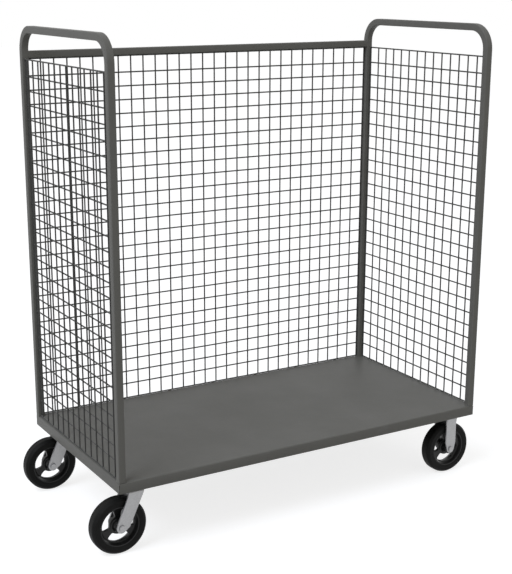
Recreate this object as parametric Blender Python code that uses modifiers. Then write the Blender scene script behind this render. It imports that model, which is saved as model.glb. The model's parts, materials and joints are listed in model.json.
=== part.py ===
# Three-sided wire mesh stock cart: a flanged steel deck on two swivel and two rigid casters, an
# inverted-U tube frame at each end, a rail across the back and 2 inch welded mesh on three sides.
# Metres, +Z up. The origin lies on the floor under the middle of the overall length, which the
# trailing wheels at -X add to. X runs along the cart, the open side faces -Y, and all other places
# are given from the middle of the deck.

import math

import bmesh
import bpy
from mathutils import Matrix, Vector

# Clearances
GAP = 0.0003  # between pieces that are welded, bolted or seated together
RUNNING_GAP = 0.0008  # between pieces that turn on each other
CUT_OVERRUN = 0.002  # how far a cutter runs past the face that it cuts
MERGE_DISTANCE = 0.00001  # points closer than this are one point

# Whole cart
CART_LENGTH = 1.524
CART_DEPTH = 0.762
CART_HEIGHT = 1.7399
CASTER_HEIGHT = 0.2413  # floor to the top of a caster's mounting plate

# Deck: one sheet with its four lips folded down and their corner seams left open
LIP_HEIGHT = 0.0381
DECK_SHEET = 0.0027
DECK_BEND_RADIUS = 0.005
SEAM_WIDTH = 0.0012

# Channels under the deck
CHANNEL_WIDTH = 0.127
CHANNEL_SHEET = 0.0046
CHANNEL_BEND_RADIUS = 0.0075
STIFFENER_WIDTH = 0.0762
STIFFENER_DEPTH = 0.0254
STIFFENER_SHEET = 0.0027
STIFFENER_SPACING = 0.28

# Square tube of the end frames and the back rail
TUBE_SIZE = 0.0254
TUBE_WALL = 0.0021
TUBE_CORNER_RADIUS = 0.003
FRAME_BEND_RADIUS = 0.0787  # to the tube's centre line
RAIL_DROP = 0.0889  # from the top of the end frames to the top of the rail

# Welded mesh
WIRE_DIAMETER = 0.00476
WIRE_PITCH = 0.0508
EDGE_ROD = 0.00476  # square rod along the edges of a panel
PANEL_INSET = 0.0005  # from the tubes' outer face to the panel's
LEFT_PANEL_INSET = 0.0066  # the left panel stands nearer the tubes' middle

# Caster mounting plate and its studs
PLATE_LENGTH = 0.1143  # along X
PLATE_DEPTH = 0.1016  # along Y
PLATE_THICKNESS = 0.00635
PLATE_CORNER_RADIUS = 0.008
STUD_SPACING_X = 0.0921
STUD_SPACING_Y = 0.0667
STUD_DIAMETER = 0.0095
STUD_NUT_SIZE = 0.0143  # across the flats
STUD_NUT_HEIGHT = 0.0058
STUD_END = 0.0006  # thread showing past the nut
SLOT_WIDTH = 0.0109
SLOT_LENGTH = 0.0195

# Caster places, from the ends and the long sides of the cart
SWIVEL_INSET = 0.0729
RIGID_INSET = 0.0803
CASTER_SIDE_INSET = 0.0683
SWIVEL_LEAD = 0.0536  # how far the wheel trails its swivel axis

# Ball race of a swivel caster
RACE_HEIGHT = 0.007  # from the plate down to the fork's crown
RACE_RADIUS = 0.0262
RACE_SKIRT = 0.0024
RACE_SKIRT_HEIGHT = 0.0052
BALL_DIAMETER = 0.0048
BALL_CIRCLE_RADIUS = 0.0187
RACE_PAD_WIDTH = 0.0072
KINGPIN_RADIUS = 0.0064
KINGPIN_HEAD_RADIUS = 0.0125
KINGPIN_HEAD_HEIGHT = 0.0035
KINGPIN_NUT_SIZE = 0.019  # across the flats
KINGPIN_NUT_HEIGHT = 0.0075
KINGPIN_END = 0.0015

# Forks
FORK_PLATE = 0.00635
FORK_INNER_WIDTH = 0.0635  # between the two legs
FORK_BEND_RADIUS = 0.0055  # to the middle of the plate
CROWN_FRONT = 0.035  # from the swivel axis to the crown's leading edge
CROWN_BACK = 0.0245  # from the swivel axis to the edge on the wheel's side
CROWN_SKIRT = 0.0105  # upright stretch of the leg's back edge below the crown
LEG_END_RADIUS = 0.0183
LEG_HEEL = 0.0297  # from the axle to the heel, where the leg's front edge ends
LEG_HEEL_RADIUS = 0.002
RIGID_LEG_WIDTH = 0.0465
RIGID_LEG_END_RADIUS = 0.0167
RIGID_TAPER_HEIGHT = 0.0265  # from the axle to where the leg starts to narrow
RIGID_BEND_DROP = 0.0327  # from the plate's top face down to where the leg bends outwards
RIGID_SPREAD = 0.0058  # how far each leg leans out up to the plate
RIGID_BEND_RADIUS = 0.012

# Wheels
WHEEL_CLEARANCE = 0.0181  # from the tyre to the underside of the fork's crown
TREAD_WIDTH = 0.0508
TREAD_SHOULDER = 0.0095
TYRE_DEPTH = 0.0292  # from the tread to the rim
RIM_WIDTH = 0.046
RIM_LIP = 0.0036  # the rim's thickness at its mouth
RIM_FLARE = 0.0071  # what the rim thickens by, from its mouth to the web
WEB_THICKNESS = 0.0127
BARREL_RADIUS = 0.0216
BARREL_LENGTH = 0.0619
HUB_BORE_RADIUS = 0.0148
BUSHING_RADIUS = 0.0098
BEARING_LENGTH = 0.0580
AXLE_RADIUS = 0.0064
AXLE_HEAD_SIZE = 0.019  # across the flats
AXLE_HEAD_HEIGHT = 0.0055
AXLE_NUT_HEIGHT = 0.0075
AXLE_END = 0.0022
OPENING_TO_RIM = 0.002  # between an opening and the root of the rim
OPENING_TO_BARREL = 0.0107  # between an opening and the barrel

# Angles and shares
OPENING_CORNER_SHARE = 0.27  # corner radius of an opening, of its height
OPENING_COUNT = 3
OPENING_SPAN = math.radians(87)
OPENING_TURN = math.radians(30)

# Roundness of the faceted forms
WIRE_SIDES = 6
TUBE_CORNER_STEPS = 1
FRAME_BEND_STEPS = 7
BEND_STEPS = 3
CORNER_STEPS = 2
WHEEL_SIDES = 24
RING_SIDES = 16
BALL_SIDES = 6
SMALL_SIDES = 12
STUD_SIDES = 6
SHARP_ANGLE = math.radians(35)
WIRE_SHARP_ANGLE = math.radians(65)

# Levels and places that follow from the sizes above
DECK_TOP = CASTER_HEIGHT + LIP_HEIGHT
DECK_UNDERSIDE = DECK_TOP - DECK_SHEET
RAIL_BOTTOM = CART_HEIGHT - RAIL_DROP - TUBE_SIZE
PLATE_TOP = CASTER_HEIGHT - GAP
PLATE_BOTTOM = PLATE_TOP - PLATE_THICKNESS
CROWN_TOP = PLATE_BOTTOM - RACE_HEIGHT
WHEEL_RADIUS = (CROWN_TOP - FORK_PLATE - WHEEL_CLEARANCE) / 2
RIM_RADIUS = WHEEL_RADIUS - TYRE_DEPTH
RIM_MOUTH_RADIUS = RIM_RADIUS - RIM_LIP
RIM_ROOT_RADIUS = RIM_MOUTH_RADIUS - RIM_FLARE
OPENING_OUTER_RADIUS = RIM_ROOT_RADIUS - OPENING_TO_RIM
OPENING_INNER_RADIUS = BARREL_RADIUS + OPENING_TO_BARREL
OPENING_CORNER_RADIUS = (OPENING_OUTER_RADIUS - OPENING_INNER_RADIUS) * OPENING_CORNER_SHARE
CLEAR_LENGTH = CART_LENGTH - 2 * TUBE_SIZE
CLEAR_DEPTH = CART_DEPTH - 2 * TUBE_SIZE
CLEAR_HEIGHT = RAIL_BOTTOM - DECK_TOP
WIRE_FLATS = WIRE_DIAMETER * math.cos(math.pi / WIRE_SIDES)
CASTER_Y = CART_DEPTH / 2 - CASTER_SIDE_INSET
SWIVEL_X = -CART_LENGTH / 2 + SWIVEL_INSET
RIGID_X = CART_LENGTH / 2 - RIGID_INSET
LEG_MIDDLE = FORK_INNER_WIDTH / 2 + FORK_PLATE / 2
LEG_OUTSIDE = FORK_INNER_WIDTH / 2 + FORK_PLATE

LEFT_OVERHANG = WHEEL_RADIUS + SWIVEL_LEAD - SWIVEL_INSET
RIGHT_OVERHANG = WHEEL_RADIUS - RIGID_INSET
CART_X = (LEFT_OVERHANG - RIGHT_OVERHANG) / 2  # the deck's middle, off the middle of the overall length

FACING_FRONT = Matrix.Rotation(math.pi / 2, 4, "X")  # turns local +Z to -Y


def clear_scene():
    for old in list(bpy.data.objects):
        bpy.data.objects.remove(old, do_unlink=True)


def make_collection(name):
    collection = bpy.data.collections.new(name)
    bpy.context.scene.collection.children.link(collection)
    return collection


def make_material(name, colour, roughness, metallic):
    material = bpy.data.materials.new(name)
    material.use_nodes = True
    shader = material.node_tree.nodes["Principled BSDF"]
    shader.inputs["Base Color"].default_value = (*colour, 1.0)
    shader.inputs["Roughness"].default_value = roughness
    shader.inputs["Metallic"].default_value = metallic
    return material


clear_scene()
cart = make_collection("stock_cart")
cutters = make_collection("cutters")
cart_middle = bpy.data.objects.new("cart_middle", None)
cart_middle.location.x = CART_X
cart.objects.link(cart_middle)
grey_paint = make_material("grey_powder_coat", (0.13, 0.13, 0.14), 0.55, 0.0)
mesh_paint = make_material("mesh_powder_coat", (0.07, 0.07, 0.075), 0.55, 0.0)
zinc = make_material("zinc_plate", (0.42, 0.42, 0.44), 0.35, 1.0)
dark_steel = make_material("oiled_steel", (0.16, 0.16, 0.16), 0.4, 1.0)
cast_black = make_material("black_cast_iron", (0.012, 0.012, 0.012), 0.6, 0.0)
black_rubber = make_material("black_rubber", (0.009, 0.009, 0.008), 0.75, 0.0)


def place(obj, material, parent=None):
    cart.objects.link(obj)
    obj.parent = parent or cart_middle
    obj.data.materials.clear()
    obj.data.materials.append(material)
    return obj


def make_cutter(obj, parent=None):
    cutters.objects.link(obj)
    obj.parent = parent or cart_middle
    obj.hide_render = True
    obj.display_type = "WIRE"
    return obj


def make_empty(name, location, parent=None):
    empty = bpy.data.objects.new(name, None)
    cart.objects.link(empty)
    empty.parent = parent or cart_middle
    empty.location = location
    return empty


def object_from(bm, name):
    bmesh.ops.recalc_face_normals(bm, faces=bm.faces)
    mesh = bpy.data.meshes.new(name)
    bm.to_mesh(mesh)
    bm.free()
    return bpy.data.objects.new(name, mesh)


def solidify(obj, thickness, offset):
    shell = obj.modifiers.new("thickness", "SOLIDIFY")
    shell.thickness = thickness
    shell.offset = offset
    shell.use_even_offset = True


def boolean(obj, other, operation):
    change = obj.modifiers.new(operation.lower(), "BOOLEAN")
    change.operation = operation
    change.object = other


def settled_mesh(obj, helpers=()):
    """The mesh that the object's modifiers make, for pieces that are used more than once."""
    bpy.context.view_layer.update()
    graph = bpy.context.evaluated_depsgraph_get()
    mesh = bpy.data.meshes.new_from_object(obj.evaluated_get(graph))
    mesh.name = obj.name
    for used in (obj, *helpers):
        bpy.data.objects.remove(used, do_unlink=True)
    bm = bmesh.new()
    bm.from_mesh(mesh)
    bmesh.ops.remove_doubles(bm, verts=bm.verts, dist=MERGE_DISTANCE)
    bm.to_mesh(mesh)
    bm.free()
    mesh.shade_smooth()
    mesh.set_sharp_from_angle(angle=SHARP_ANGLE)
    return mesh


def add_box(bm, size, centre):
    matrix = Matrix.Translation(centre) @ Matrix.Diagonal((*size, 1.0))
    return bmesh.ops.create_cube(bm, size=1.0, matrix=matrix)["verts"]


def add_prism(bm, sides, radius, length, matrix):
    bmesh.ops.create_cone(
        bm, cap_ends=True, segments=sides, radius1=radius, radius2=radius, depth=length, matrix=matrix
    )


def hexagon_radius(across_flats):
    return across_flats / 2 / math.cos(math.pi / 6)


def rounded_path(corners, radius, steps):
    """The corners of an open path as (u, v) points, each inner corner turned on an arc."""
    points = [Vector(corners[0])]
    for before, corner, after in zip(corners, corners[1:], corners[2:]):
        corner = Vector(corner)
        to_before = (Vector(before) - corner).normalized()
        to_after = (Vector(after) - corner).normalized()
        half_angle = to_before.angle(to_after) / 2
        to_centre = (to_before + to_after).normalized()
        centre = corner + to_centre * (radius / math.sin(half_angle))
        start = corner + to_before * (radius / math.tan(half_angle)) - centre
        end = corner + to_after * (radius / math.tan(half_angle)) - centre
        turn = start.angle_signed(end)
        for step in range(steps + 1):
            points.append(centre + Matrix.Rotation(-turn * step / steps, 2) @ start)
    points.append(Vector(corners[-1]))
    return points


def bent_sheet(name, path, length, along, thickness):
    """A sheet folded along a path in the plane across "along" (X or Y), centred on the origin."""
    bm = bmesh.new()
    for half in (-length / 2, length / 2):
        for u, v in path:
            bm.verts.new((half, u, v) if along == "X" else (u, half, v))
    bm.verts.ensure_lookup_table()
    count = len(path)
    for index in range(count - 1):
        near = bm.verts[index], bm.verts[index + 1]
        far = bm.verts[index + 1 + count], bm.verts[index + count]
        bm.faces.new((*near, *far))
    obj = object_from(bm, name)
    solidify(obj, thickness, 0.0)
    return obj


def turned(name, profile, sides, closed):
    """A profile of (radius, height) points turned about local Z. It runs down its outer side.
    It starts half a step round, so that a flat facet faces each way along X and Y."""
    bm = bmesh.new()
    half_step = math.pi / sides
    along = Vector((math.cos(half_step), math.sin(half_step), 0.0))
    verts = [bm.verts.new(along * radius + Vector((0.0, 0.0, height))) for radius, height in profile]
    for first, second in zip(verts, verts[1:]):
        bm.edges.new((first, second))
    if closed:
        bm.edges.new((verts[-1], verts[0]))
    mesh = bpy.data.meshes.new(name)
    bm.to_mesh(mesh)
    bm.free()
    obj = bpy.data.objects.new(name, mesh)
    screw = obj.modifiers.new("turn", "SCREW")
    screw.steps = sides
    screw.render_steps = sides
    screw.use_merge_vertices = True
    screw.merge_threshold = MERGE_DISTANCE
    return obj


def turned_mesh(name, profile, sides, closed):
    piece = turned(name, profile, sides, closed)
    bpy.context.scene.collection.objects.link(piece)
    return settled_mesh(piece)


def ring_profile(inner, outer, half_length):
    return [(outer, half_length), (outer, -half_length), (inner, -half_length), (inner, half_length)]


def outline_solid(name, points, thickness):
    """A flat outline in local XY, filled and given a thickness that is centred on the plane."""
    curve = bpy.data.curves.new(name, "CURVE")
    curve.dimensions = "2D"
    curve.fill_mode = "BOTH"
    curve.extrude = thickness / 2
    spline = curve.splines.new("POLY")
    spline.points.add(len(points) - 1)
    for knot, (x, y) in zip(spline.points, points):
        knot.co = (x, y, 0.0, 1.0)
    spline.use_cyclic_u = True
    obj = bpy.data.objects.new(name, curve)
    bpy.context.scene.collection.objects.link(obj)
    mesh = settled_mesh(obj)
    return bpy.data.objects.new(name, mesh)


def arc_points(centre, radius, start, end, steps):
    """Points round an arc, its two ends included."""
    angles = [start + (end - start) * step / steps for step in range(steps + 1)]
    return [(centre[0] + radius * math.cos(a), centre[1] + radius * math.sin(a)) for a in angles]


def stadium(length, width, centre, steps):
    reach = (length - width) / 2
    right = arc_points((centre[0] + reach, centre[1]), width / 2, -math.pi / 2, math.pi / 2, steps)
    left = arc_points((centre[0] - reach, centre[1]), width / 2, math.pi / 2, 3 * math.pi / 2, steps)
    return right + left


def stud_places():
    half_x, half_y = STUD_SPACING_X / 2, STUD_SPACING_Y / 2
    return [(x, y) for x in (-half_x, half_x) for y in (-half_y, half_y)]


# Deck and the channels under it


def make_deck():
    bm = bmesh.new()
    centre = (0.0, 0.0, CASTER_HEIGHT + LIP_HEIGHT / 2)
    add_box(bm, (CART_LENGTH, CART_DEPTH, LIP_HEIGHT), centre)
    bottom = [face for face in bm.faces if face.normal.z < -0.5]
    bmesh.ops.delete(bm, geom=bottom, context="FACES_ONLY")
    top_edges = [edge for edge in bm.edges if all(vert.co.z > centre[2] for vert in edge.verts)]
    bmesh.ops.bevel(
        bm, geom=top_edges, offset=DECK_BEND_RADIUS, segments=BEND_STEPS, profile=0.5, affect="EDGES"
    )
    deck = object_from(bm, "deck_pan")
    solidify(deck, DECK_SHEET, -1.0)
    seams = bmesh.new()
    seam_height = LIP_HEIGHT - DECK_BEND_RADIUS + CUT_OVERRUN
    for x in (-CART_LENGTH / 2, CART_LENGTH / 2):
        for y in (-CART_DEPTH / 2, CART_DEPTH / 2):
            verts = add_box(seams, (4 * DECK_SHEET, SEAM_WIDTH, seam_height), (0.0, 0.0, 0.0))
            turn = Matrix.Rotation(math.copysign(math.pi / 4, x * y), 4, "Z")
            move = Matrix.Translation((x, y, CASTER_HEIGHT - CUT_OVERRUN + seam_height / 2))
            bmesh.ops.transform(seams, matrix=move @ turn, verts=verts)
    boolean(deck, make_cutter(object_from(seams, "corner_seams")), "DIFFERENCE")
    place(deck, grey_paint)


def make_channel(side, x):
    """A channel from lip to lip with its flanges up, and the welded studs of two casters with nuts."""
    half = CHANNEL_WIDTH / 2 - CHANNEL_SHEET / 2
    top = DECK_UNDERSIDE - GAP
    bottom = CASTER_HEIGHT + CHANNEL_SHEET / 2
    corners = [(-half, top), (-half, bottom), (half, bottom), (half, top)]
    path = rounded_path(corners, CHANNEL_BEND_RADIUS, BEND_STEPS)
    length = CART_DEPTH - 2 * DECK_BEND_RADIUS - 2 * GAP
    channel = bent_sheet(f"caster_channel_{side}", path, length, "Y", CHANNEL_SHEET)
    channel.location.x = x
    nut_top = PLATE_BOTTOM - GAP
    stud_top = CASTER_HEIGHT + CHANNEL_SHEET / 2
    stud_bottom = nut_top - STUD_NUT_HEIGHT - STUD_END
    studs, nuts = bmesh.new(), bmesh.new()
    for row in (-CASTER_Y, CASTER_Y):
        for stud_x, stud_y in stud_places():
            middle = Matrix.Translation((stud_x, row + stud_y, (stud_top + stud_bottom) / 2))
            add_prism(studs, STUD_SIDES, STUD_DIAMETER / 2, stud_top - stud_bottom, middle)
            middle = Matrix.Translation((stud_x, row + stud_y, nut_top - STUD_NUT_HEIGHT / 2))
            add_prism(nuts, 6, hexagon_radius(STUD_NUT_SIZE), STUD_NUT_HEIGHT, middle)
    for name, bm in (("studs", studs), ("stud_nuts", nuts)):
        boolean(channel, make_cutter(object_from(bm, f"{name}_{side}"), channel), "UNION")
    place(channel, grey_paint)


def make_stiffener(side, y):
    """A shallow channel along the deck, between the two caster channels."""
    half = STIFFENER_WIDTH / 2 - STIFFENER_SHEET / 2
    top = DECK_UNDERSIDE - GAP
    bottom = DECK_UNDERSIDE - STIFFENER_DEPTH + STIFFENER_SHEET / 2
    corners = [(-half, top), (-half, bottom), (half, bottom), (half, top)]
    path = rounded_path(corners, DECK_BEND_RADIUS, BEND_STEPS)
    start = SWIVEL_X + CHANNEL_WIDTH / 2 + GAP
    end = RIGID_X - CHANNEL_WIDTH / 2 - GAP
    stiffener = bent_sheet(f"deck_stiffener_{side}", path, end - start, "X", STIFFENER_SHEET)
    stiffener.location = ((start + end) / 2, y, 0.0)
    place(stiffener, grey_paint)


# End frames and back rail


def tube_section():
    """The rounded square outline of the tube, which the curves of the frame and rail are swept with."""
    inset = TUBE_SIZE / 2 - TUBE_CORNER_RADIUS
    points = []
    for turn, (x, y) in enumerate(((1, 1), (1, -1), (-1, -1), (-1, 1))):
        start = (1 - turn) * math.pi / 2
        centre = (x * inset, y * inset)
        points += arc_points(centre, TUBE_CORNER_RADIUS, start, start - math.pi / 2, TUBE_CORNER_STEPS)
    curve = bpy.data.curves.new("tube_section", "CURVE")
    curve.dimensions = "2D"
    spline = curve.splines.new("POLY")
    spline.points.add(len(points) - 1)
    for knot, (x, y) in zip(spline.points, points):
        knot.co = (x, y, 0.0, 1.0)
    spline.use_cyclic_u = True
    return make_cutter(bpy.data.objects.new("tube_section", curve))


def swept_tube(name, points, section):
    """An open-ended tube along the points. The sweep is its outside, and the wall goes inwards."""
    curve = bpy.data.curves.new(name, "CURVE")
    curve.dimensions = "3D"
    curve.bevel_mode = "OBJECT"
    curve.bevel_object = section
    spline = curve.splines.new("POLY")
    spline.points.add(len(points) - 1)
    for knot, point in zip(spline.points, points):
        knot.co = (*point, 1.0)
    tube = bpy.data.objects.new(name, curve)
    solidify(tube, TUBE_WALL, -1.0)
    return tube


def make_end_frame(side, x, section):
    half = CART_DEPTH / 2 - TUBE_SIZE / 2
    foot = DECK_TOP + GAP
    top = CART_HEIGHT - TUBE_SIZE / 2
    corners = [(-half, foot), (-half, top), (half, top), (half, foot)]
    path = rounded_path(corners, FRAME_BEND_RADIUS, FRAME_BEND_STEPS)
    frame = swept_tube(f"end_frame_{side}", [(0.0, y, z) for y, z in path], section)
    frame.location.x = x
    place(frame, grey_paint)


def make_back_rail(section):
    half = CLEAR_LENGTH / 2 - GAP
    rail = swept_tube("back_rail", [(-half, 0.0, 0.0), (half, 0.0, 0.0)], section)
    rail.location = (0.0, CART_DEPTH / 2 - TUBE_SIZE / 2, RAIL_BOTTOM + TUBE_SIZE / 2)
    place(rail, grey_paint)


# Welded mesh panels


def closed_loop(bm, points, level):
    verts = [bm.verts.new((x, y, level)) for x, y in points]
    for first, second in zip(verts, verts[1:] + verts[:1]):
        bm.edges.new((first, second))
    return verts


def join_loops(bm, first, second):
    for index in range(len(first)):
        after = (index + 1) % len(first)
        bm.faces.new((first[index], first[after], second[after], second[index]))


def wire_count(span):
    return round(span / WIRE_PITCH) - 1


def ladder(name, rod_length, rod_spacing, count):
    """Wires along local Z at the mesh pitch, welded at their ends into two rods along local X."""
    bm = bmesh.new()
    reach, half = rod_length / 2, EDGE_ROD / 2
    corners = [(-reach, -half), (reach, -half), (reach, half), (-reach, half)]
    wire_ends = []
    for side in (-1, 1):
        inner = closed_loop(bm, corners, side * (rod_spacing / 2 - half))
        outer = closed_loop(bm, corners, side * (rod_spacing / 2 + half))
        join_loops(bm, inner, outer)
        bm.faces.new(outer)
        ends = []
        for index in range(count):
            x = (index - (count - 1) / 2) * WIRE_PITCH
            hexagon = arc_points((x, 0.0), WIRE_DIAMETER / 2, 0.0, math.tau, WIRE_SIDES)[:-1]
            ends.append(closed_loop(bm, hexagon, side * (rod_spacing / 2 - half)))
        rims = [edge for vert in sum(ends, inner) for edge in vert.link_edges if not edge.link_faces]
        rims += [edge for vert in inner for edge in vert.link_edges if edge.other_vert(vert) in inner]
        bmesh.ops.triangle_fill(bm, edges=list(set(rims)), use_beauty=True, use_dissolve=False)
        wire_ends.append(ends)
    for low, high in zip(*wire_ends):
        join_loops(bm, low, high)
    bmesh.ops.recalc_face_normals(bm, faces=bm.faces)
    mesh = bpy.data.meshes.new(name)
    bm.to_mesh(mesh)
    bm.free()
    mesh.shade_smooth()
    mesh.set_sharp_from_angle(angle=WIRE_SHARP_ANGLE)
    return mesh


def make_panel(name, clear_width, centre, turn, inset, extra_uprights):
    """A layer of uprights with the top and bottom rods, and one of cross wires with the side rods.
    Local +Y is the outer side, where the uprights lie. One extra upright makes the two end gaps half
    a pitch."""
    upright_height = CLEAR_HEIGHT - 2 * GAP - EDGE_ROD
    cross_width = clear_width - 2 * GAP - EDGE_ROD
    side_rod = CLEAR_HEIGHT - 2 * EDGE_ROD - 4 * GAP
    rod = clear_width - 2 * GAP
    upright_count = wire_count(cross_width) + extra_uprights
    uprights = ladder(f"{name}_uprights", rod, upright_height, upright_count)
    crosswires = ladder(f"{name}_crosswires", side_rod, cross_width, wire_count(upright_height))
    crosswires.transform(Matrix.Rotation(math.pi / 2, 4, "Y"))
    level = DECK_TOP + CLEAR_HEIGHT / 2
    frame = make_empty(f"{name}_frame", (centre[0], centre[1], level))
    frame.rotation_euler.z = turn
    upright_y = TUBE_SIZE / 2 - inset - EDGE_ROD / 2
    cross_y = upright_y - WIRE_FLATS - GAP
    for part, mesh, y in (("uprights", uprights, upright_y), ("crosswires", crosswires, cross_y)):
        layer = place(bpy.data.objects.new(f"{name}_{part}", mesh), mesh_paint, frame)
        layer.location.y = y


# Caster plates and forks


def rounded_plate(name):
    bm = bmesh.new()
    middle = (0.0, 0.0, (PLATE_TOP + PLATE_BOTTOM) / 2)
    add_box(bm, (PLATE_LENGTH, PLATE_DEPTH, PLATE_THICKNESS), middle)
    upright = [edge for edge in bm.edges if abs(edge.verts[0].co.z - edge.verts[1].co.z) > GAP]
    bmesh.ops.bevel(
        bm, geom=upright, offset=PLATE_CORNER_RADIUS, segments=BEND_STEPS, profile=0.5, affect="EDGES"
    )
    return object_from(bm, name)


def slot_cutters(name):
    """The four slots that let the plate over the studs."""
    bm = bmesh.new()
    for centre in stud_places():
        outline = stadium(SLOT_LENGTH, SLOT_WIDTH, centre, BEND_STEPS)
        slot = outline_solid(name, outline, PLATE_THICKNESS + 2 * CUT_OVERRUN)
        slot.data.transform(Matrix.Translation((0.0, 0.0, (PLATE_TOP + PLATE_BOTTOM) / 2)))
        bm.from_mesh(slot.data)
        bpy.data.objects.remove(slot, do_unlink=True)
    return object_from(bm, name)


def settled_with(base, changes):
    """The base mesh after the listed (operation, tool) changes, with the tools used up."""
    bpy.context.scene.collection.objects.link(base)
    for operation, tool in changes:
        bpy.context.scene.collection.objects.link(tool)
        boolean(base, tool, operation)
    return settled_mesh(base, [tool for operation, tool in changes])


def swivel_plate_mesh():
    """The plate with its slots, the pressed cup of the ball race and the kingpin's stepped hole."""
    inner = BALL_CIRCLE_RADIUS - RACE_PAD_WIDTH / 2
    pad = PLATE_BOTTOM - (RACE_HEIGHT - BALL_DIAMETER) / 2 + GAP
    skirt = PLATE_BOTTOM - RACE_SKIRT_HEIGHT
    sunk = PLATE_BOTTOM + PLATE_THICKNESS / 2
    cup = turned(
        "race_cup",
        [
            (RACE_RADIUS, sunk),
            (RACE_RADIUS, skirt),
            (RACE_RADIUS - RACE_SKIRT, skirt),
            (RACE_RADIUS - RACE_SKIRT, pad),
            (inner, pad),
            (inner, sunk),
        ],
        RING_SIDES,
        True,
    )
    bore = KINGPIN_RADIUS + GAP
    head = KINGPIN_HEAD_RADIUS + GAP
    seat = PLATE_TOP - KINGPIN_HEAD_HEIGHT - GAP
    hole = turned(
        "kingpin_hole",
        [
            (0.0, PLATE_TOP + CUT_OVERRUN),
            (head, PLATE_TOP + CUT_OVERRUN),
            (head, seat),
            (bore, seat),
            (bore, PLATE_BOTTOM - CUT_OVERRUN),
            (0.0, PLATE_BOTTOM - CUT_OVERRUN),
        ],
        SMALL_SIDES,
        False,
    )
    plate = rounded_plate("caster_plate")
    return settled_with(
        plate, [("UNION", cup), ("DIFFERENCE", hole), ("DIFFERENCE", slot_cutters("plate_slots"))]
    )


def ball_race_mesh():
    """The full ring of balls, as the ring that they fill."""
    top = CROWN_TOP + (RACE_HEIGHT + BALL_DIAMETER) / 2
    centre = (BALL_CIRCLE_RADIUS, top - BALL_DIAMETER / 2)
    profile = arc_points(centre, BALL_DIAMETER / 2, math.pi / 2, -3 * math.pi / 2, BALL_SIDES)
    return turned_mesh("ball_race", profile[:-1], RING_SIDES, True)


def kingpin_mesh():
    nut_bottom = CROWN_TOP - FORK_PLATE - RUNNING_GAP - KINGPIN_NUT_HEIGHT
    top = PLATE_TOP
    under_head = top - KINGPIN_HEAD_HEIGHT
    profile = [
        (0.0, top),
        (KINGPIN_HEAD_RADIUS, top),
        (KINGPIN_HEAD_RADIUS, under_head),
        (KINGPIN_RADIUS, under_head),
        (KINGPIN_RADIUS, nut_bottom - KINGPIN_END),
        (0.0, nut_bottom - KINGPIN_END),
    ]
    return turned_mesh("kingpin", profile, SMALL_SIDES, False)


def nut_mesh(name, across_flats, height, hole_radius):
    """A hexagon nut about local Z, centred on the origin."""
    bm, hole = bmesh.new(), bmesh.new()
    add_prism(bm, 6, hexagon_radius(across_flats), height, Matrix.Identity(4))
    add_prism(hole, SMALL_SIDES, hole_radius, height + 2 * CUT_OVERRUN, Matrix.Identity(4))
    return settled_with(object_from(bm, name), [("DIFFERENCE", object_from(hole, f"{name}_hole"))])


def tangent_angle(point, centre, radius, side):
    """The angle on a circle where the line from an outside point touches it, on the given side."""
    away = Vector(point) - Vector(centre)
    return math.atan2(away.y, away.x) + side * math.acos(radius / away.length)


def fork_outline():
    """The side of the swivel fork in (x, z) from the swivel axis: crown, swept legs and axle ends."""
    knee = (-CROWN_BACK, CROWN_TOP - CROWN_SKIRT)
    axle = (-SWIVEL_LEAD, WHEEL_RADIUS)
    back = tangent_angle(knee, axle, LEG_END_RADIUS, 1)
    heel = (axle[0] + LEG_HEEL, axle[1])
    under = tangent_angle(heel, axle, LEG_END_RADIUS, -1)
    end = arc_points(axle, LEG_END_RADIUS, back, under + 2 * math.pi, 2 * BEND_STEPS)
    brow = (CROWN_FRONT, CROWN_TOP)
    front = rounded_path([end[-1], heel, brow], LEG_HEEL_RADIUS, BEND_STEPS)
    above = CROWN_TOP + CUT_OVERRUN
    return [(-CROWN_BACK, above), knee, *end[:-1], *front, (CROWN_FRONT, above)]


def upright_outline(name, outline):
    """An outline given in (x, z), as a solid that runs across the whole fork along Y."""
    solid = outline_solid(name, outline, 2 * LEG_OUTSIDE + 2 * RIGID_SPREAD + 2 * CUT_OVERRUN)
    solid.data.transform(FACING_FRONT)
    return solid


def axle_hole(x):
    bm = bmesh.new()
    length = 2 * LEG_OUTSIDE + 2 * CUT_OVERRUN
    matrix = Matrix.Translation((x, 0.0, WHEEL_RADIUS)) @ FACING_FRONT
    add_prism(bm, SMALL_SIDES, AXLE_RADIUS + GAP, length, matrix)
    return object_from(bm, "axle_hole")


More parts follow.
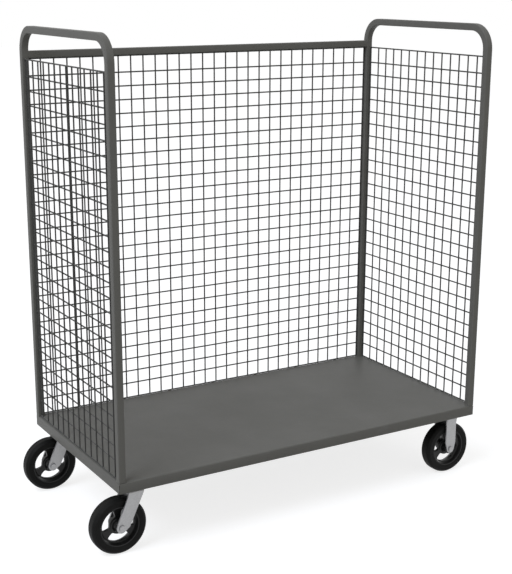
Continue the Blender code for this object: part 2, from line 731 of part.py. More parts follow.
def fork_mesh():
    """A strap bent to an inverted U and trimmed to the fork's side outline, with its race and holes."""
    foot = WHEEL_RADIUS - LEG_END_RADIUS - CUT_OVERRUN
    top = CROWN_TOP - FORK_PLATE / 2
    corners = [(-LEG_MIDDLE, foot), (-LEG_MIDDLE, top), (LEG_MIDDLE, top), (LEG_MIDDLE, foot)]
    path = rounded_path(corners, FORK_BEND_RADIUS, BEND_STEPS)
    length = 2 * (SWIVEL_LEAD + LEG_END_RADIUS + CUT_OVERRUN)
    strap = bent_sheet("fork", path, length, "X", FORK_PLATE)
    inner = BALL_CIRCLE_RADIUS - RACE_PAD_WIDTH / 2
    outer = BALL_CIRCLE_RADIUS + RACE_PAD_WIDTH / 2 - RUNNING_GAP
    pad_top = CROWN_TOP + (RACE_HEIGHT - BALL_DIAMETER) / 2 - GAP
    sunk = CROWN_TOP - FORK_PLATE / 2
    pad = turned(
        "race_pad", [(outer, pad_top), (outer, sunk), (inner, sunk), (inner, pad_top)], RING_SIDES, True
    )
    hole = bmesh.new()
    middle = Matrix.Translation((0.0, 0.0, sunk))
    add_prism(hole, SMALL_SIDES, KINGPIN_RADIUS + RUNNING_GAP, FORK_PLATE + 2 * CUT_OVERRUN, middle)
    return settled_with(
        strap,
        [
            ("INTERSECT", upright_outline("fork_side", fork_outline())),
            ("UNION", pad),
            ("DIFFERENCE", object_from(hole, "fork_pin_hole")),
            ("DIFFERENCE", axle_hole(-SWIVEL_LEAD)),
        ],
    )


def rigid_outline():
    """The side of a rigid caster's legs in (x, z): straight, then tapered to a round axle end."""
    half = RIGID_LEG_WIDTH / 2
    top = PLATE_TOP - PLATE_THICKNESS / 2
    shoulder = WHEEL_RADIUS + RIGID_TAPER_HEIGHT
    axle = (0.0, WHEEL_RADIUS)
    left = tangent_angle((-half, shoulder), axle, RIGID_LEG_END_RADIUS, 1)
    end = arc_points(axle, RIGID_LEG_END_RADIUS, left, 3 * math.pi - left, 2 * BEND_STEPS)
    return [(-half, top), (-half, shoulder), *end, (half, shoulder), (half, top)]


def rigid_frame_mesh():
    """The plate with two legs that come down from it, bend upright and carry the axle."""
    foot = WHEEL_RADIUS - RIGID_LEG_END_RADIUS - CUT_OVERRUN
    bend = PLATE_TOP - RIGID_BEND_DROP
    top = PLATE_TOP - PLATE_THICKNESS / 2
    legs = bmesh.new()
    for side in (-1, 1):
        corners = [
            (side * LEG_MIDDLE, foot),
            (side * LEG_MIDDLE, bend),
            (side * (LEG_MIDDLE + RIGID_SPREAD), top),
        ]
        path = rounded_path(corners, RIGID_BEND_RADIUS, BEND_STEPS)
        leg = bent_sheet("leg", path, RIGID_LEG_WIDTH + 2 * CUT_OVERRUN, "X", FORK_PLATE)
        bpy.context.scene.collection.objects.link(leg)
        legs.from_mesh(settled_mesh(leg))
    tools = [
        ("INTERSECT", upright_outline("leg_sides", rigid_outline())),
        ("UNION", rounded_plate("rigid_plate")),
        ("DIFFERENCE", slot_cutters("rigid_slots")),
        ("DIFFERENCE", axle_hole(0.0)),
    ]
    return settled_with(object_from(legs, "rigid_frame"), tools)


# Wheels, about local Z, which the wheel's empty turns to face the front


def tyre_mesh():
    half = TREAD_WIDTH / 2
    bed = RIM_WIDTH / 2
    inner = RIM_RADIUS + GAP
    outer = WHEEL_RADIUS / math.cos(math.pi / WHEEL_SIDES)
    slope = TREAD_SHOULDER * (1 - math.sqrt(0.5))
    profile = [
        (inner, bed),
        (outer - TREAD_SHOULDER, half),
        (outer - slope, half - slope),
        (outer, half - TREAD_SHOULDER),
        (outer, TREAD_SHOULDER - half),
        (outer - slope, slope - half),
        (outer - TREAD_SHOULDER, -half),
        (inner, -bed),
    ]
    return turned_mesh("tyre", profile, WHEEL_SIDES, True)


def opening_outline(turn):
    """One kidney-shaped opening between two spokes, with its four corners rounded."""
    inset_out = OPENING_CORNER_RADIUS / (OPENING_OUTER_RADIUS - OPENING_CORNER_RADIUS)
    inset_in = OPENING_CORNER_RADIUS / (OPENING_INNER_RADIUS + OPENING_CORNER_RADIUS)
    half = OPENING_SPAN / 2
    quarter = math.pi / 2
    points = []
    for side in (-1, 1):
        reach_out = OPENING_OUTER_RADIUS - OPENING_CORNER_RADIUS
        reach_in = OPENING_INNER_RADIUS + OPENING_CORNER_RADIUS
        at_out = turn + side * (half - inset_out)
        at_in = turn + side * (half - inset_in)
        out_centre = (reach_out * math.cos(at_out), reach_out * math.sin(at_out))
        in_centre = (reach_in * math.cos(at_in), reach_in * math.sin(at_in))
        edge = turn + side * half
        across = edge + side * quarter
        outer = arc_points(out_centre, OPENING_CORNER_RADIUS, at_out, across, CORNER_STEPS)
        inner = arc_points(in_centre, OPENING_CORNER_RADIUS, across, at_in + side * math.pi, CORNER_STEPS)
        points.append(outer + inner)
    left, right = points
    low, high = turn - half + inset_out, turn + half - inset_out
    outer_arc = arc_points((0.0, 0.0), OPENING_OUTER_RADIUS, low, high, 2 * CORNER_STEPS)
    low, high = turn - half + inset_in, turn + half - inset_in
    inner_arc = arc_points((0.0, 0.0), OPENING_INNER_RADIUS, high, low, CORNER_STEPS)
    return outer_arc[1:-1] + right + inner_arc[1:-1] + left[::-1]


def hub_mesh():
    """A cast wheel centre: bored barrel, web with kidney-shaped openings, and the rim in the tyre."""
    web = WEB_THICKNESS / 2
    half_rim = RIM_WIDTH / 2
    half_barrel = BARREL_LENGTH / 2
    profile = [
        (RIM_RADIUS, half_rim),
        (RIM_RADIUS, -half_rim),
        (RIM_MOUTH_RADIUS, -half_rim),
        (RIM_ROOT_RADIUS, -web),
        (BARREL_RADIUS, -web),
        (BARREL_RADIUS, -half_barrel),
        (HUB_BORE_RADIUS, -half_barrel),
        (HUB_BORE_RADIUS, half_barrel),
        (BARREL_RADIUS, half_barrel),
        (BARREL_RADIUS, web),
        (RIM_ROOT_RADIUS, web),
        (RIM_MOUTH_RADIUS, half_rim),
    ]
    bm = bmesh.new()
    for index in range(OPENING_COUNT):
        turn = OPENING_TURN + index * 2 * math.pi / OPENING_COUNT
        opening = outline_solid("opening", opening_outline(turn), WEB_THICKNESS + 2 * CUT_OVERRUN)
        bm.from_mesh(opening.data)
        bpy.data.objects.remove(opening, do_unlink=True)
    hub = turned("hub", profile, WHEEL_SIDES, True)
    return settled_with(hub, [("DIFFERENCE", object_from(bm, "openings"))])


def axle_bolt_mesh():
    """A hexagon bolt along local Z. Its head lies outside the leg that faces the front."""
    head_from = LEG_OUTSIDE + GAP
    shank_top = head_from + AXLE_HEAD_HEIGHT / 2
    shank_bottom = -(LEG_OUTSIDE + GAP + AXLE_NUT_HEIGHT + AXLE_END)
    head, shank = bmesh.new(), bmesh.new()
    middle = Matrix.Translation((0.0, 0.0, head_from + AXLE_HEAD_HEIGHT / 2))
    add_prism(head, 6, hexagon_radius(AXLE_HEAD_SIZE), AXLE_HEAD_HEIGHT, middle)
    middle = Matrix.Translation((0.0, 0.0, (shank_top + shank_bottom) / 2))
    add_prism(shank, SMALL_SIDES, AXLE_RADIUS, shank_top - shank_bottom, middle)
    return settled_with(object_from(head, "axle_bolt"), [("UNION", object_from(shank, "axle_shank"))])


section = tube_section()
make_deck()
make_channel("left", SWIVEL_X)
make_channel("right", RIGID_X)
make_stiffener("front", -STIFFENER_SPACING / 2)
make_stiffener("back", STIFFENER_SPACING / 2)

frame_x = CART_LENGTH / 2 - TUBE_SIZE / 2
make_end_frame("left", -frame_x, section)
make_end_frame("right", frame_x, section)
make_back_rail(section)

make_panel("back_mesh", CLEAR_LENGTH, (0.0, CART_DEPTH / 2 - TUBE_SIZE / 2), 0.0, PANEL_INSET, 0)
make_panel("left_mesh", CLEAR_DEPTH, (-frame_x, 0.0), math.pi / 2, LEFT_PANEL_INSET, 1)
make_panel("right_mesh", CLEAR_DEPTH, (frame_x, 0.0), -math.pi / 2, PANEL_INSET, 0)

bushing_half = FORK_INNER_WIDTH / 2 - GAP
nut_hole = AXLE_RADIUS + GAP
shared = {
    "plate": swivel_plate_mesh(),
    "ball_race": ball_race_mesh(),
    "kingpin": kingpin_mesh(),
    "kingpin_nut": nut_mesh("kingpin_nut", KINGPIN_NUT_SIZE, KINGPIN_NUT_HEIGHT, KINGPIN_RADIUS + GAP),
    "fork": fork_mesh(),
    "rigid_frame": rigid_frame_mesh(),
    "tyre": tyre_mesh(),
    "hub": hub_mesh(),
    "roller_bearing": turned_mesh(
        "roller_bearing",
        ring_profile(BUSHING_RADIUS + RUNNING_GAP, HUB_BORE_RADIUS - GAP, BEARING_LENGTH / 2),
        SMALL_SIDES,
        True,
    ),
    "bushing": turned_mesh(
        "axle_bushing", ring_profile(AXLE_RADIUS + GAP, BUSHING_RADIUS, bushing_half), SMALL_SIDES, True
    ),
    "axle_bolt": axle_bolt_mesh(),
    "axle_nut": nut_mesh("axle_nut", AXLE_HEAD_SIZE, AXLE_NUT_HEIGHT, nut_hole),
}


def add_piece(name, key, material, parent):
    return place(bpy.data.objects.new(name, shared[key]), material, parent)


def add_wheel(caster, carrier, x):
    """The axle and its bushing ride on the carrier. The wheel empty turns about local Z."""
    wheel = make_empty(f"{caster}_wheel", (x, 0.0, WHEEL_RADIUS), carrier)
    wheel.rotation_euler.x = math.pi / 2
    add_piece(f"{caster}_tyre", "tyre", black_rubber, wheel)
    add_piece(f"{caster}_hub", "hub", cast_black, wheel)
    add_piece(f"{caster}_roller_bearing", "roller_bearing", dark_steel, wheel)
    axle = make_empty(f"{caster}_axle", (x, 0.0, WHEEL_RADIUS), carrier)
    axle.rotation_euler.x = math.pi / 2
    add_piece(f"{caster}_axle_bushing", "bushing", dark_steel, axle)
    add_piece(f"{caster}_axle_bolt", "axle_bolt", zinc, axle)
    nut = add_piece(f"{caster}_axle_nut", "axle_nut", zinc, axle)
    nut.location.z = -(LEG_OUTSIDE + GAP + AXLE_NUT_HEIGHT / 2)


def add_swivel_caster(caster, y):
    mount = make_empty(f"{caster}_mount", (SWIVEL_X, y, 0.0))
    swivel = make_empty(f"{caster}_swivel", (0.0, 0.0, 0.0), mount)
    add_piece(f"{caster}_plate", "plate", zinc, mount)
    add_piece(f"{caster}_kingpin", "kingpin", zinc, mount)
    nut = add_piece(f"{caster}_kingpin_nut", "kingpin_nut", zinc, mount)
    nut.location.z = CROWN_TOP - FORK_PLATE - RUNNING_GAP - KINGPIN_NUT_HEIGHT / 2
    add_piece(f"{caster}_ball_race", "ball_race", dark_steel, swivel)
    add_piece(f"{caster}_fork", "fork", zinc, swivel)
    add_wheel(caster, swivel, -SWIVEL_LEAD)


def add_rigid_caster(caster, y):
    mount = make_empty(f"{caster}_mount", (RIGID_X, y, 0.0))
    add_piece(f"{caster}_frame", "rigid_frame", zinc, mount)
    add_wheel(caster, mount, 0.0)


add_swivel_caster("front_left", -CASTER_Y)
add_swivel_caster("back_left", CASTER_Y)
add_rigid_caster("front_right", -CASTER_Y)
add_rigid_caster("back_right", CASTER_Y)
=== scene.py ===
import json
import math

import bmesh
import bpy
from mathutils import Matrix, Vector


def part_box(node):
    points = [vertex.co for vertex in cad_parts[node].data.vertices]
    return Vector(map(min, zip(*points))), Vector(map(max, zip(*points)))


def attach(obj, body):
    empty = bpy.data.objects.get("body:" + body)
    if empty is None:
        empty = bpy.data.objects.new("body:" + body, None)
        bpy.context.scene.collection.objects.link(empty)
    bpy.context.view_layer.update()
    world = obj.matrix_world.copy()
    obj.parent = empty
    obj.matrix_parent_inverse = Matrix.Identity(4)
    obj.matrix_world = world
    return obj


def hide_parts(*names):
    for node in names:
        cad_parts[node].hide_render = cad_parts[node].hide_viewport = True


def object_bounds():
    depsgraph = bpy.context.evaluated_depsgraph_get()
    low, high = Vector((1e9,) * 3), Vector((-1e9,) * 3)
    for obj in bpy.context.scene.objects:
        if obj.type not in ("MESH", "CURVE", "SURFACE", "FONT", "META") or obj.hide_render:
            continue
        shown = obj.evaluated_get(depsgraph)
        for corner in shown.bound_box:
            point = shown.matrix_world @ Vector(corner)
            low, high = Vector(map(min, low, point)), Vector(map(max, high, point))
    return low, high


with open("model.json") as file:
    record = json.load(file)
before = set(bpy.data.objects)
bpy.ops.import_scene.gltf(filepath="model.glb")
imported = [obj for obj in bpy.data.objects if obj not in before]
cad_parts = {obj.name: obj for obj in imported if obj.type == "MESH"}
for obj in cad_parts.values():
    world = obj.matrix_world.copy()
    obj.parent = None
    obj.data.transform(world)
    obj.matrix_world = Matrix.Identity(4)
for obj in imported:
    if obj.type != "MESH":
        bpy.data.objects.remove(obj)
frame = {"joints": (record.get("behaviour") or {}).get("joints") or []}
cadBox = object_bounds()
print("frame loaded")

alongX, alongY, alongZ = Vector((1, 0, 0)), Vector((0, 1, 0)), Vector((0, 0, 1))
levelAxes = (alongX, alongY)
squareSigns = ((1, 1), (1, -1), (-1, -1), (-1, 1))
facingFront = Matrix.Rotation(math.pi / 2, 4, "X")  # turns local +Z to -Y
quarter = math.pi / 2
jointAt = {joint["name"]: Vector(joint["pos_m"]) for joint in frame["joints"] if "pos_m" in joint}

smooth = {
    "arcStep": math.radians(11), "sharpAngle": math.radians(32), "easeAngle": math.radians(40),
    "turnSteps": 48, "holeSteps": 32, "slotEndSteps": 10,
}


# Shape helpers

def camel(node):  # the name of the piece that stands for a CAD node
    first, *rest = node.replace("crosswires", "cross_wires").split("_")
    return first + "".join(word.capitalize() for word in rest)


def boxOf(node):
    low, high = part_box(node)
    return low, high, (low + high) / 2


def inScene(name, data):
    thing = bpy.data.objects.new(name, data)
    bpy.context.scene.collection.objects.link(thing)
    return thing


def workObject(mesh):
    return inScene(mesh.name, mesh)


def shaded(mesh):
    mesh.shade_smooth()
    mesh.set_sharp_from_angle(angle=smooth["sharpAngle"])
    return mesh


def meshOf(bm, name):
    bmesh.ops.recalc_face_normals(bm, faces=bm.faces)
    mesh = bpy.data.meshes.new(name)
    bm.to_mesh(mesh)
    bm.free()
    return shaded(mesh)


def settled(piece, helpers=()):  # the mesh that the modifiers make; the piece and its cutters go
    bpy.context.view_layer.update()
    graph = bpy.context.evaluated_depsgraph_get()
    mesh = bpy.data.meshes.new_from_object(piece.evaluated_get(graph))
    mesh.name = piece.name
    for used in (piece, *helpers):
        bpy.data.objects.remove(used, do_unlink=True)
    return shaded(mesh)


def joined(name, meshes):
    bm = bmesh.new()
    for mesh in meshes:
        bm.from_mesh(mesh)
        bpy.data.meshes.remove(mesh)
    return meshOf(bm, name)


def easeEdges(piece, width, segments=2):  # rounds the edges that turn by more than a bend's facets
    ease = piece.modifiers.new("easedEdges", "BEVEL")
    ease.width = width
    ease.segments = segments
    ease.limit_method = "ANGLE"
    ease.angle_limit = smooth["easeAngle"]


def thicken(piece, thickness, offset=0.0):
    sheet = piece.modifiers.new("sheet", "SOLIDIFY")
    sheet.thickness = thickness
    sheet.offset = offset
    sheet.use_even_offset = True


def cutAway(piece, cutter):
    cut = piece.modifiers.new("cut", "BOOLEAN")
    cut.object = cutter
    cut.operation = "DIFFERENCE"


def roundedPath(corners, closed=False, arcStep=smooth["arcStep"]):
    # corners are (u, v), or (u, v, radius) where the path turns in an arc
    points = []
    for index, corner in enumerate(corners):
        here = Vector(corner[:2])
        atEnd = not closed and index in (0, len(corners) - 1)
        if len(corner) < 3 or atEnd:
            points.append(here)
            continue
        toBefore = (Vector(corners[index - 1][:2]) - here).normalized()
        toAfter = (Vector(corners[(index + 1) % len(corners)][:2]) - here).normalized()
        half = toBefore.angle(toAfter) / 2
        centre = here + (toBefore + toAfter).normalized() * (corner[2] / math.sin(half))
        start = here + toBefore * (corner[2] / math.tan(half)) - centre
        end = here + toAfter * (corner[2] / math.tan(half)) - centre
        turn = start.angle_signed(end)
        steps = max(2, math.ceil(abs(turn) / arcStep))
        for step in range(steps + 1):
            points.append(centre + Matrix.Rotation(-turn * step / steps, 2) @ start)
    return [tuple(point) for point in points]


def polar(reach, angle):
    return reach * math.cos(angle), reach * math.sin(angle)


def arcPoints(centre, radius, start, end, steps):
    angles = [start + (end - start) * step / steps for step in range(steps + 1)]
    return [(centre[0] + x, centre[1] + y) for x, y in (polar(radius, angle) for angle in angles)]


def circlePoints(radius, centre=(0.0, 0.0), steps=smooth["holeSteps"]):
    return arcPoints(centre, radius, 0.0, math.tau, steps)[:-1]


def stadium(length, width, centre):
    outline = []
    for side in (1, -1):
        end = (centre[0] + side * (length - width) / 2, centre[1])
        start = -quarter * side
        outline += arcPoints(end, width / 2, start, start + math.pi, smooth["slotEndSteps"])
    return outline


def mirrored(corners):  # the same corners at the opposite height
    return [(radius, -height, *rest) for radius, height, *rest in corners]


def skin(bm, rows, around=True, closed=False, capped=False):  # quads from each row to the next
    made = [[bm.verts.new(point) for point in row] for row in rows]
    for one, other in zip(made, made[1:] + made[:1] if closed else made[1:]):
        for step in range(len(one) if around else len(one) - 1):
            after = (step + 1) % len(one)
            bm.faces.new((one[step], one[after], other[after], other[step]))
    if capped:
        bm.faces.new(made[0])
        bm.faces.new(made[-1])
    return made


def ringSolid(bm, rings, steps, closed=True, centre=(0.0, 0.0)):
    # rings of (radius, height), where either may be a function of the angle, skinned in order
    rows = []
    for ring in rings:
        row = []
        for angle in (math.tau * step / steps for step in range(steps)):
            radius, height = (size(angle) if callable(size) else size for size in ring)
            x, y = polar(radius, angle)
            row.append((centre[0] + x, centre[1] + y, height))
        rows.append(row)
    skin(bm, rows, closed=closed, capped=not closed)


def turnedMesh(name, corners, steps=smooth["turnSteps"]):  # corners are (radius, height, rounding)
    bm = bmesh.new()
    ringSolid(bm, roundedPath(corners, True), steps)
    return meshOf(bm, name)


def sweptRows(path, section, across, closed=False, sizes=None):
    # section is (u, v): u along the fixed axis across, v square to it and to the path
    rows = []
    for index, point in enumerate(path):
        before = path[index - 1] if closed or index > 0 else point
        after = path[(index + 1) % len(path)] if closed or index < len(path) - 1 else point
        side = (after - before).normalized().cross(across)
        size = sizes[index] if sizes else 1.0
        rows.append([point + (across * u + side * v) * size for u, v in section])
    return rows


def sheetFrom(bm, name, thickness, edge, segments=2):  # gives a bent surface its thickness
    piece = workObject(meshOf(bm, name))
    thicken(piece, thickness)
    easeEdges(piece, edge, segments)
    return settled(piece)


def flatFace(bm, loops, toPoint):  # fills a flat outline that may have holes
    edges = []
    for loop in loops:
        verts = [bm.verts.new(toPoint(u, v)) for u, v in loop]
        edges += [bm.edges.new(pair) for pair in zip(verts, verts[1:] + verts[:1])]
    bmesh.ops.triangle_fill(bm, edges=edges, use_beauty=True, use_dissolve=False)


bolts = {
    "chamferFace": 0.97, "chamferSlope": math.tan(math.radians(30)),  # of a head or nut
    "threadDepth": 0.45, "flankUp": (0.1, 0.45), "flankDown": (0.6, 0.95),  # shares of the pitch
}


def hexRings(acrossFlats, low, high, chamferLow=True):  # a bolt head or nut with turned chamfers
    def radius(angle):
        return acrossFlats / 2 / math.cos((angle + math.pi / 6) % (math.pi / 3) - math.pi / 6)

    face = acrossFlats / 2 * bolts["chamferFace"]
    slope = bolts["chamferSlope"]
    rings = [(radius, low)]
    if chamferLow:
        rings = [(face, low), (radius, lambda a: low + (radius(a) - face) * slope)]
    return rings + [(radius, lambda a: high - (radius(a) - face) * slope), (face, high)]


def threadRings(radius, low, high, pitch):  # crests and roots from low to high
    root = radius - pitch * bolts["threadDepth"]
    rings = [(root, low)]
    for turn in range(max(1, int((high - low) / pitch))):
        start = low + turn * pitch
        upFrom, upTo = (start + pitch * share for share in bolts["flankUp"])
        downFrom, downTo = (start + pitch * share for share in bolts["flankDown"])
        rings += [(root, upFrom), (radius, upTo), (radius, downFrom), (root, downTo)]
    return rings + [(root, high)]


weld = {
    "radius": 0.0024, "sides": 8, "step": 0.0013, "ripple": 0.09, "ripplePitch": 0.0033,
    "taperSteps": 4, "tipSize": 0.35,
}


def weldBead(bm, corners, across, radius=weld["radius"], closed=False):
    # a rippled bead along straight stretches, tapered at its ends
    path = []
    for start, end in zip(corners, corners[1:] + corners[:1] if closed else corners[1:]):
        count = max(2, round((end - start).length / weld["step"]))
        path += [start.lerp(end, step / count) for step in range(count)]
    if not closed:
        path.append(corners[-1])
    travelled, sizes = 0.0, []
    for index, point in enumerate(path):
        travelled += (point - path[index - 1]).length if index else 0.0
        wave = math.sin(travelled / weld["ripplePitch"] * math.tau)
        sizes.append(1.0 + weld["ripple"] * wave)
    taper = 0 if closed else min(weld["taperSteps"], len(sizes) // 3)
    for index in range(taper):
        rise = math.sin((index + 0.5) / taper * quarter)
        share = weld["tipSize"] + (1 - weld["tipSize"]) * rise
        sizes[index] *= share
        sizes[-1 - index] *= share
    section = circlePoints(radius, steps=weld["sides"])
    rows = sweptRows(path, section, across, closed, sizes)
    skin(bm, rows, closed=closed, capped=not closed)


# Node helpers

def feed(tree, socket, value):  # links another node's output, or sets a number or colour
    if isinstance(value, bpy.types.NodeSocket):
        tree.links.new(value, socket)
    else:
        socket.default_value = (*value, 1.0) if socket.type == "RGBA" else value


def feedAll(tree, sockets, values):
    for name, value in values.items():
        feed(tree, sockets[name], value)


def nodeIn(tree, kind, **values):  # settings and inputs by name, with _ for a blank
    node = tree.nodes.new(kind)
    for key, value in values.items():
        if hasattr(node, key):
            setattr(node, key, value)
        else:
            feed(tree, node.inputs[key.replace("_", " ")], value)
    return node


def operateIn(tree, kind, operation, values, **settings):  # a math node's outputs
    node = nodeIn(tree, kind, operation=operation, **settings)
    for socket, value in zip(node.inputs, values):
        feed(tree, socket, value)
    return node.outputs


def mathIn(tree, operation, *values, clamp=False):
    return operateIn(tree, "ShaderNodeMath", operation, values, use_clamp=clamp)[0]


def noiseIn(tree, place, scale, detail, roughness):
    noise = {"Vector": place, "Scale": scale, "Detail": detail, "Roughness": roughness}
    return nodeIn(tree, "ShaderNodeTexNoise", **noise).outputs["Fac"]


def rampIn(tree, value, low, high):
    ramp = {"clamp": True, "Value": value, "From_Min": low, "From_Max": high}
    return nodeIn(tree, "ShaderNodeMapRange", **ramp).outputs["Result"]


clouds = {  # (detail, roughness) of the noise, and the two values that it is spread between
    "mottle": ((4.0, 0.55), (0.3, 0.7)), "speckle": ((1.0, 0.4), (0.35, 0.65)),
    "rubbing": ((5.0, 0.65), (0.48, 0.66)), "dust": ((6.0, 0.62), (0.36, 0.72)),
    "streaks": ((1.0, 0.4), (0.67, 0.74)), "patches": ((3.0, 0.5), (0.42, 0.62)),
    "tint": ((5.0, 0.6), (0.35, 0.75)),
}


def cloudIn(tree, place, scale, kind):
    noise, span = clouds[kind]
    return rampIn(tree, noiseIn(tree, place, scale, *noise), *span)


def placeIn(tree):
    return tree.nodes.new("ShaderNodeTexCoord").outputs["Object"]


def normalIn(tree):
    return tree.nodes.new("ShaderNodeNewGeometry").outputs["Normal"]


def mixColour(tree, factor, first, second):
    node = nodeIn(tree, "ShaderNodeMix", data_type="RGBA")
    colours = [socket for socket in node.inputs if socket.type == "RGBA"]
    for socket, value in zip((node.inputs[0], *colours), (factor, first, second)):
        feed(tree, socket, value)
    return next(socket for socket in node.outputs if socket.type == "RGBA")


# Shader node groups, which the finishes place with their own values

effects = {  # a scuff run is (turn, stretch), a noise is (detail, roughness)
    "peelNoise": (2.0, 0.45), "speckleFiner": 1.7, "bevelSamples": 4, "edgeTurn": (0.01, 0.16),
    "dustAndTopLightSlope": (0.35, 1.0), "scuffRuns": ((0.5, (1.0, 34.0, 4.0)), (2.3, (30.0, 1.2, 5.0))),
    "patchScale": 9.0, "grainNoise": (4.0, 0.6), "fleckCoarser": 0.7,
}


def newGroup(name, inputs, build):  # build gives the outputs by name
    group = bpy.data.node_groups.new(name, "ShaderNodeTree")
    number = {"socket_type": "NodeSocketFloat"}
    for label, value in inputs.items():
        socket = group.interface.new_socket(name=label, in_out="INPUT", **number)
        socket.default_value = value
    made = build(group, group.nodes.new("NodeGroupInput").outputs, placeIn(group))
    for label in made:
        group.interface.new_socket(name=label, in_out="OUTPUT", **number)
    feedAll(group, group.nodes.new("NodeGroupOutput").inputs, made)
    return group


def powderPeel(tree, given, place):  # the orange peel and slow mottle of cured powder coat
    finer = mathIn(tree, "MULTIPLY", given["Peel Scale"], effects["speckleFiner"])
    return {
        "Height": noiseIn(tree, place, given["Peel Scale"], *effects["peelNoise"]),
        "Mottle": cloudIn(tree, place, given["Mottle Scale"], "mottle"),
        "Speckle": cloudIn(tree, place, finer, "speckle"),
    }


def edgeWear(tree, given, place):  # edges and high spots that hands and loads have rubbed
    bevel = {"samples": effects["bevelSamples"], "Radius": given["Width"]}
    rounded = nodeIn(tree, "ShaderNodeBevel", **bevel).outputs["Normal"]
    both = (rounded, normalIn(tree))
    dot = operateIn(tree, "ShaderNodeVectorMath", "DOT_PRODUCT", both)["Value"]
    edge = rampIn(tree, mathIn(tree, "SUBTRACT", 1.0, dot), *effects["edgeTurn"])
    patches = cloudIn(tree, place, given["Break Up"], "rubbing")
    return {"Mask": mathIn(tree, "MULTIPLY", edge, patches, clamp=True)}


def settledDustAndTopLight(tree, given, place):  # dust that settles on what faces up, which on the mesh wires is mostly painted light from above
    facing = nodeIn(tree, "ShaderNodeSeparateXYZ", Vector=normalIn(tree)).outputs["Z"]
    cloud = cloudIn(tree, place, given["Scale"], "dust")
    lying = mathIn(tree, "MULTIPLY", rampIn(tree, facing, *effects["dustAndTopLightSlope"]), cloud)
    return {"Mask": mathIn(tree, "MULTIPLY", lying, given["Amount"], clamp=True)}


def fineScuffs(tree, given, place):  # fine scratches that run both ways
    streaks = []
    for turn, stretch in effects["scuffRuns"]:
        drawn = {"Vector": place, "Rotation": (0.0, 0.0, turn), "Scale": stretch}
        mapped = nodeIn(tree, "ShaderNodeMapping", **drawn).outputs["Vector"]
        streaks.append(cloudIn(tree, mapped, given["Scale"], "streaks"))
    patches = cloudIn(tree, place, effects["patchScale"], "patches")
    both = mathIn(tree, "MAXIMUM", *streaks)
    return {"Mask": mathIn(tree, "MULTIPLY", both, patches, clamp=True)}


def metalGrain(tree, given, place):  # rolled or cast grain, and the flecks of a plated surface
    drawn = nodeIn(tree, "ShaderNodeCombineXYZ", X=1.0, Y=given["Stretch"], Z=1.0).outputs[0]
    scaled = operateIn(tree, "ShaderNodeVectorMath", "MULTIPLY", (place, drawn))[0]
    coarser = mathIn(tree, "MULTIPLY", given["Scale"], effects["fleckCoarser"])
    cells = nodeIn(tree, "ShaderNodeTexVoronoi", feature="F1", Vector=place, Scale=coarser)
    fleck = nodeIn(tree, "ShaderNodeSeparateColor", Color=cells.outputs["Color"]).outputs[0]
    height = noiseIn(tree, scaled, given["Scale"], *effects["grainNoise"])
    return {"Height": height, "Fleck": fleck}


groups = {
    "peel": newGroup("powderPeel", {"Peel Scale": 900.0, "Mottle Scale": 7.0}, powderPeel),
    "wear": newGroup("edgeWear", {"Width": 0.0015, "Break Up": 60.0}, edgeWear),
    "dust": newGroup("settledDustAndTopLight", {"Scale": 12.0, "Amount": 0.4}, settledDustAndTopLight),
    "scuffs": newGroup("fineScuffs", {"Scale": 26.0}, fineScuffs),
    "grain": newGroup("metalGrain", {"Scale": 260.0, "Stretch": 6.0}, metalGrain),
}
print("node groups made")


# Finishes

def newMaterial(name):
    material = bpy.data.materials.new(name)
    material.use_nodes = True
    return material, material.node_tree


def groupIn(tree, key, **values):
    return nodeIn(tree, "ShaderNodeGroup", node_tree=groups[key], **values).outputs


def rubbed(tree, values, colour):
    wear = groupIn(tree, "wear", Width=values["wearWidth"], Break_Up=values["wearScale"])
    worn = mathIn(tree, "MULTIPLY", wear["Mask"], values["wear"])
    return mixColour(tree, worn, colour, values["worn"])


def closeFinish(tree, values, colour, gloss, height):  # dust, and on the mesh wires painted light from above, and then what the shader takes
    dust = groupIn(tree, "dust", Scale=values["dustAndTopLightScale"], Amount=values["dust"])
    rough = mathIn(tree, "MULTIPLY_ADD", gloss, values["roughSpread"], values["roughness"])
    relief = {"Strength": values["bump"], "Distance": values["bumpDepth"], "Height": height}
    feedAll(tree, tree.nodes["Principled BSDF"].inputs, {
        "Base Color": mixColour(tree, dust["Mask"], colour, values["dustAndTopLightColour"]),
        "Roughness": rough, "Normal": nodeIn(tree, "ShaderNodeBump", **relief).outputs["Normal"],
        "Metallic": values["metallic"], "Specular IOR Level": values["specular"],
    })


def powderCoat(name, values):
    material, tree = newMaterial(name)
    scales = {"Peel_Scale": values["peelScale"], "Mottle_Scale": values["mottleScale"]}
    peel = groupIn(tree, "peel", **scales)
    speckled = mixColour(tree, peel["Speckle"], values["dark"], values["light"])
    mottle = mathIn(tree, "MULTIPLY", peel["Mottle"], values["mottle"])
    colour = mixColour(tree, mottle, speckled, values["pale"])
    if "wear" in values:
        colour = rubbed(tree, values, colour)
    if "scuffs" in values:
        scuffs = groupIn(tree, "scuffs", Scale=values["scuffScale"])
        marked = mathIn(tree, "MULTIPLY", scuffs["Mask"], values["scuffs"])
        colour = mixColour(tree, marked, colour, values["worn"])
    closeFinish(tree, values, colour, peel["Mottle"], peel["Height"])
    return material


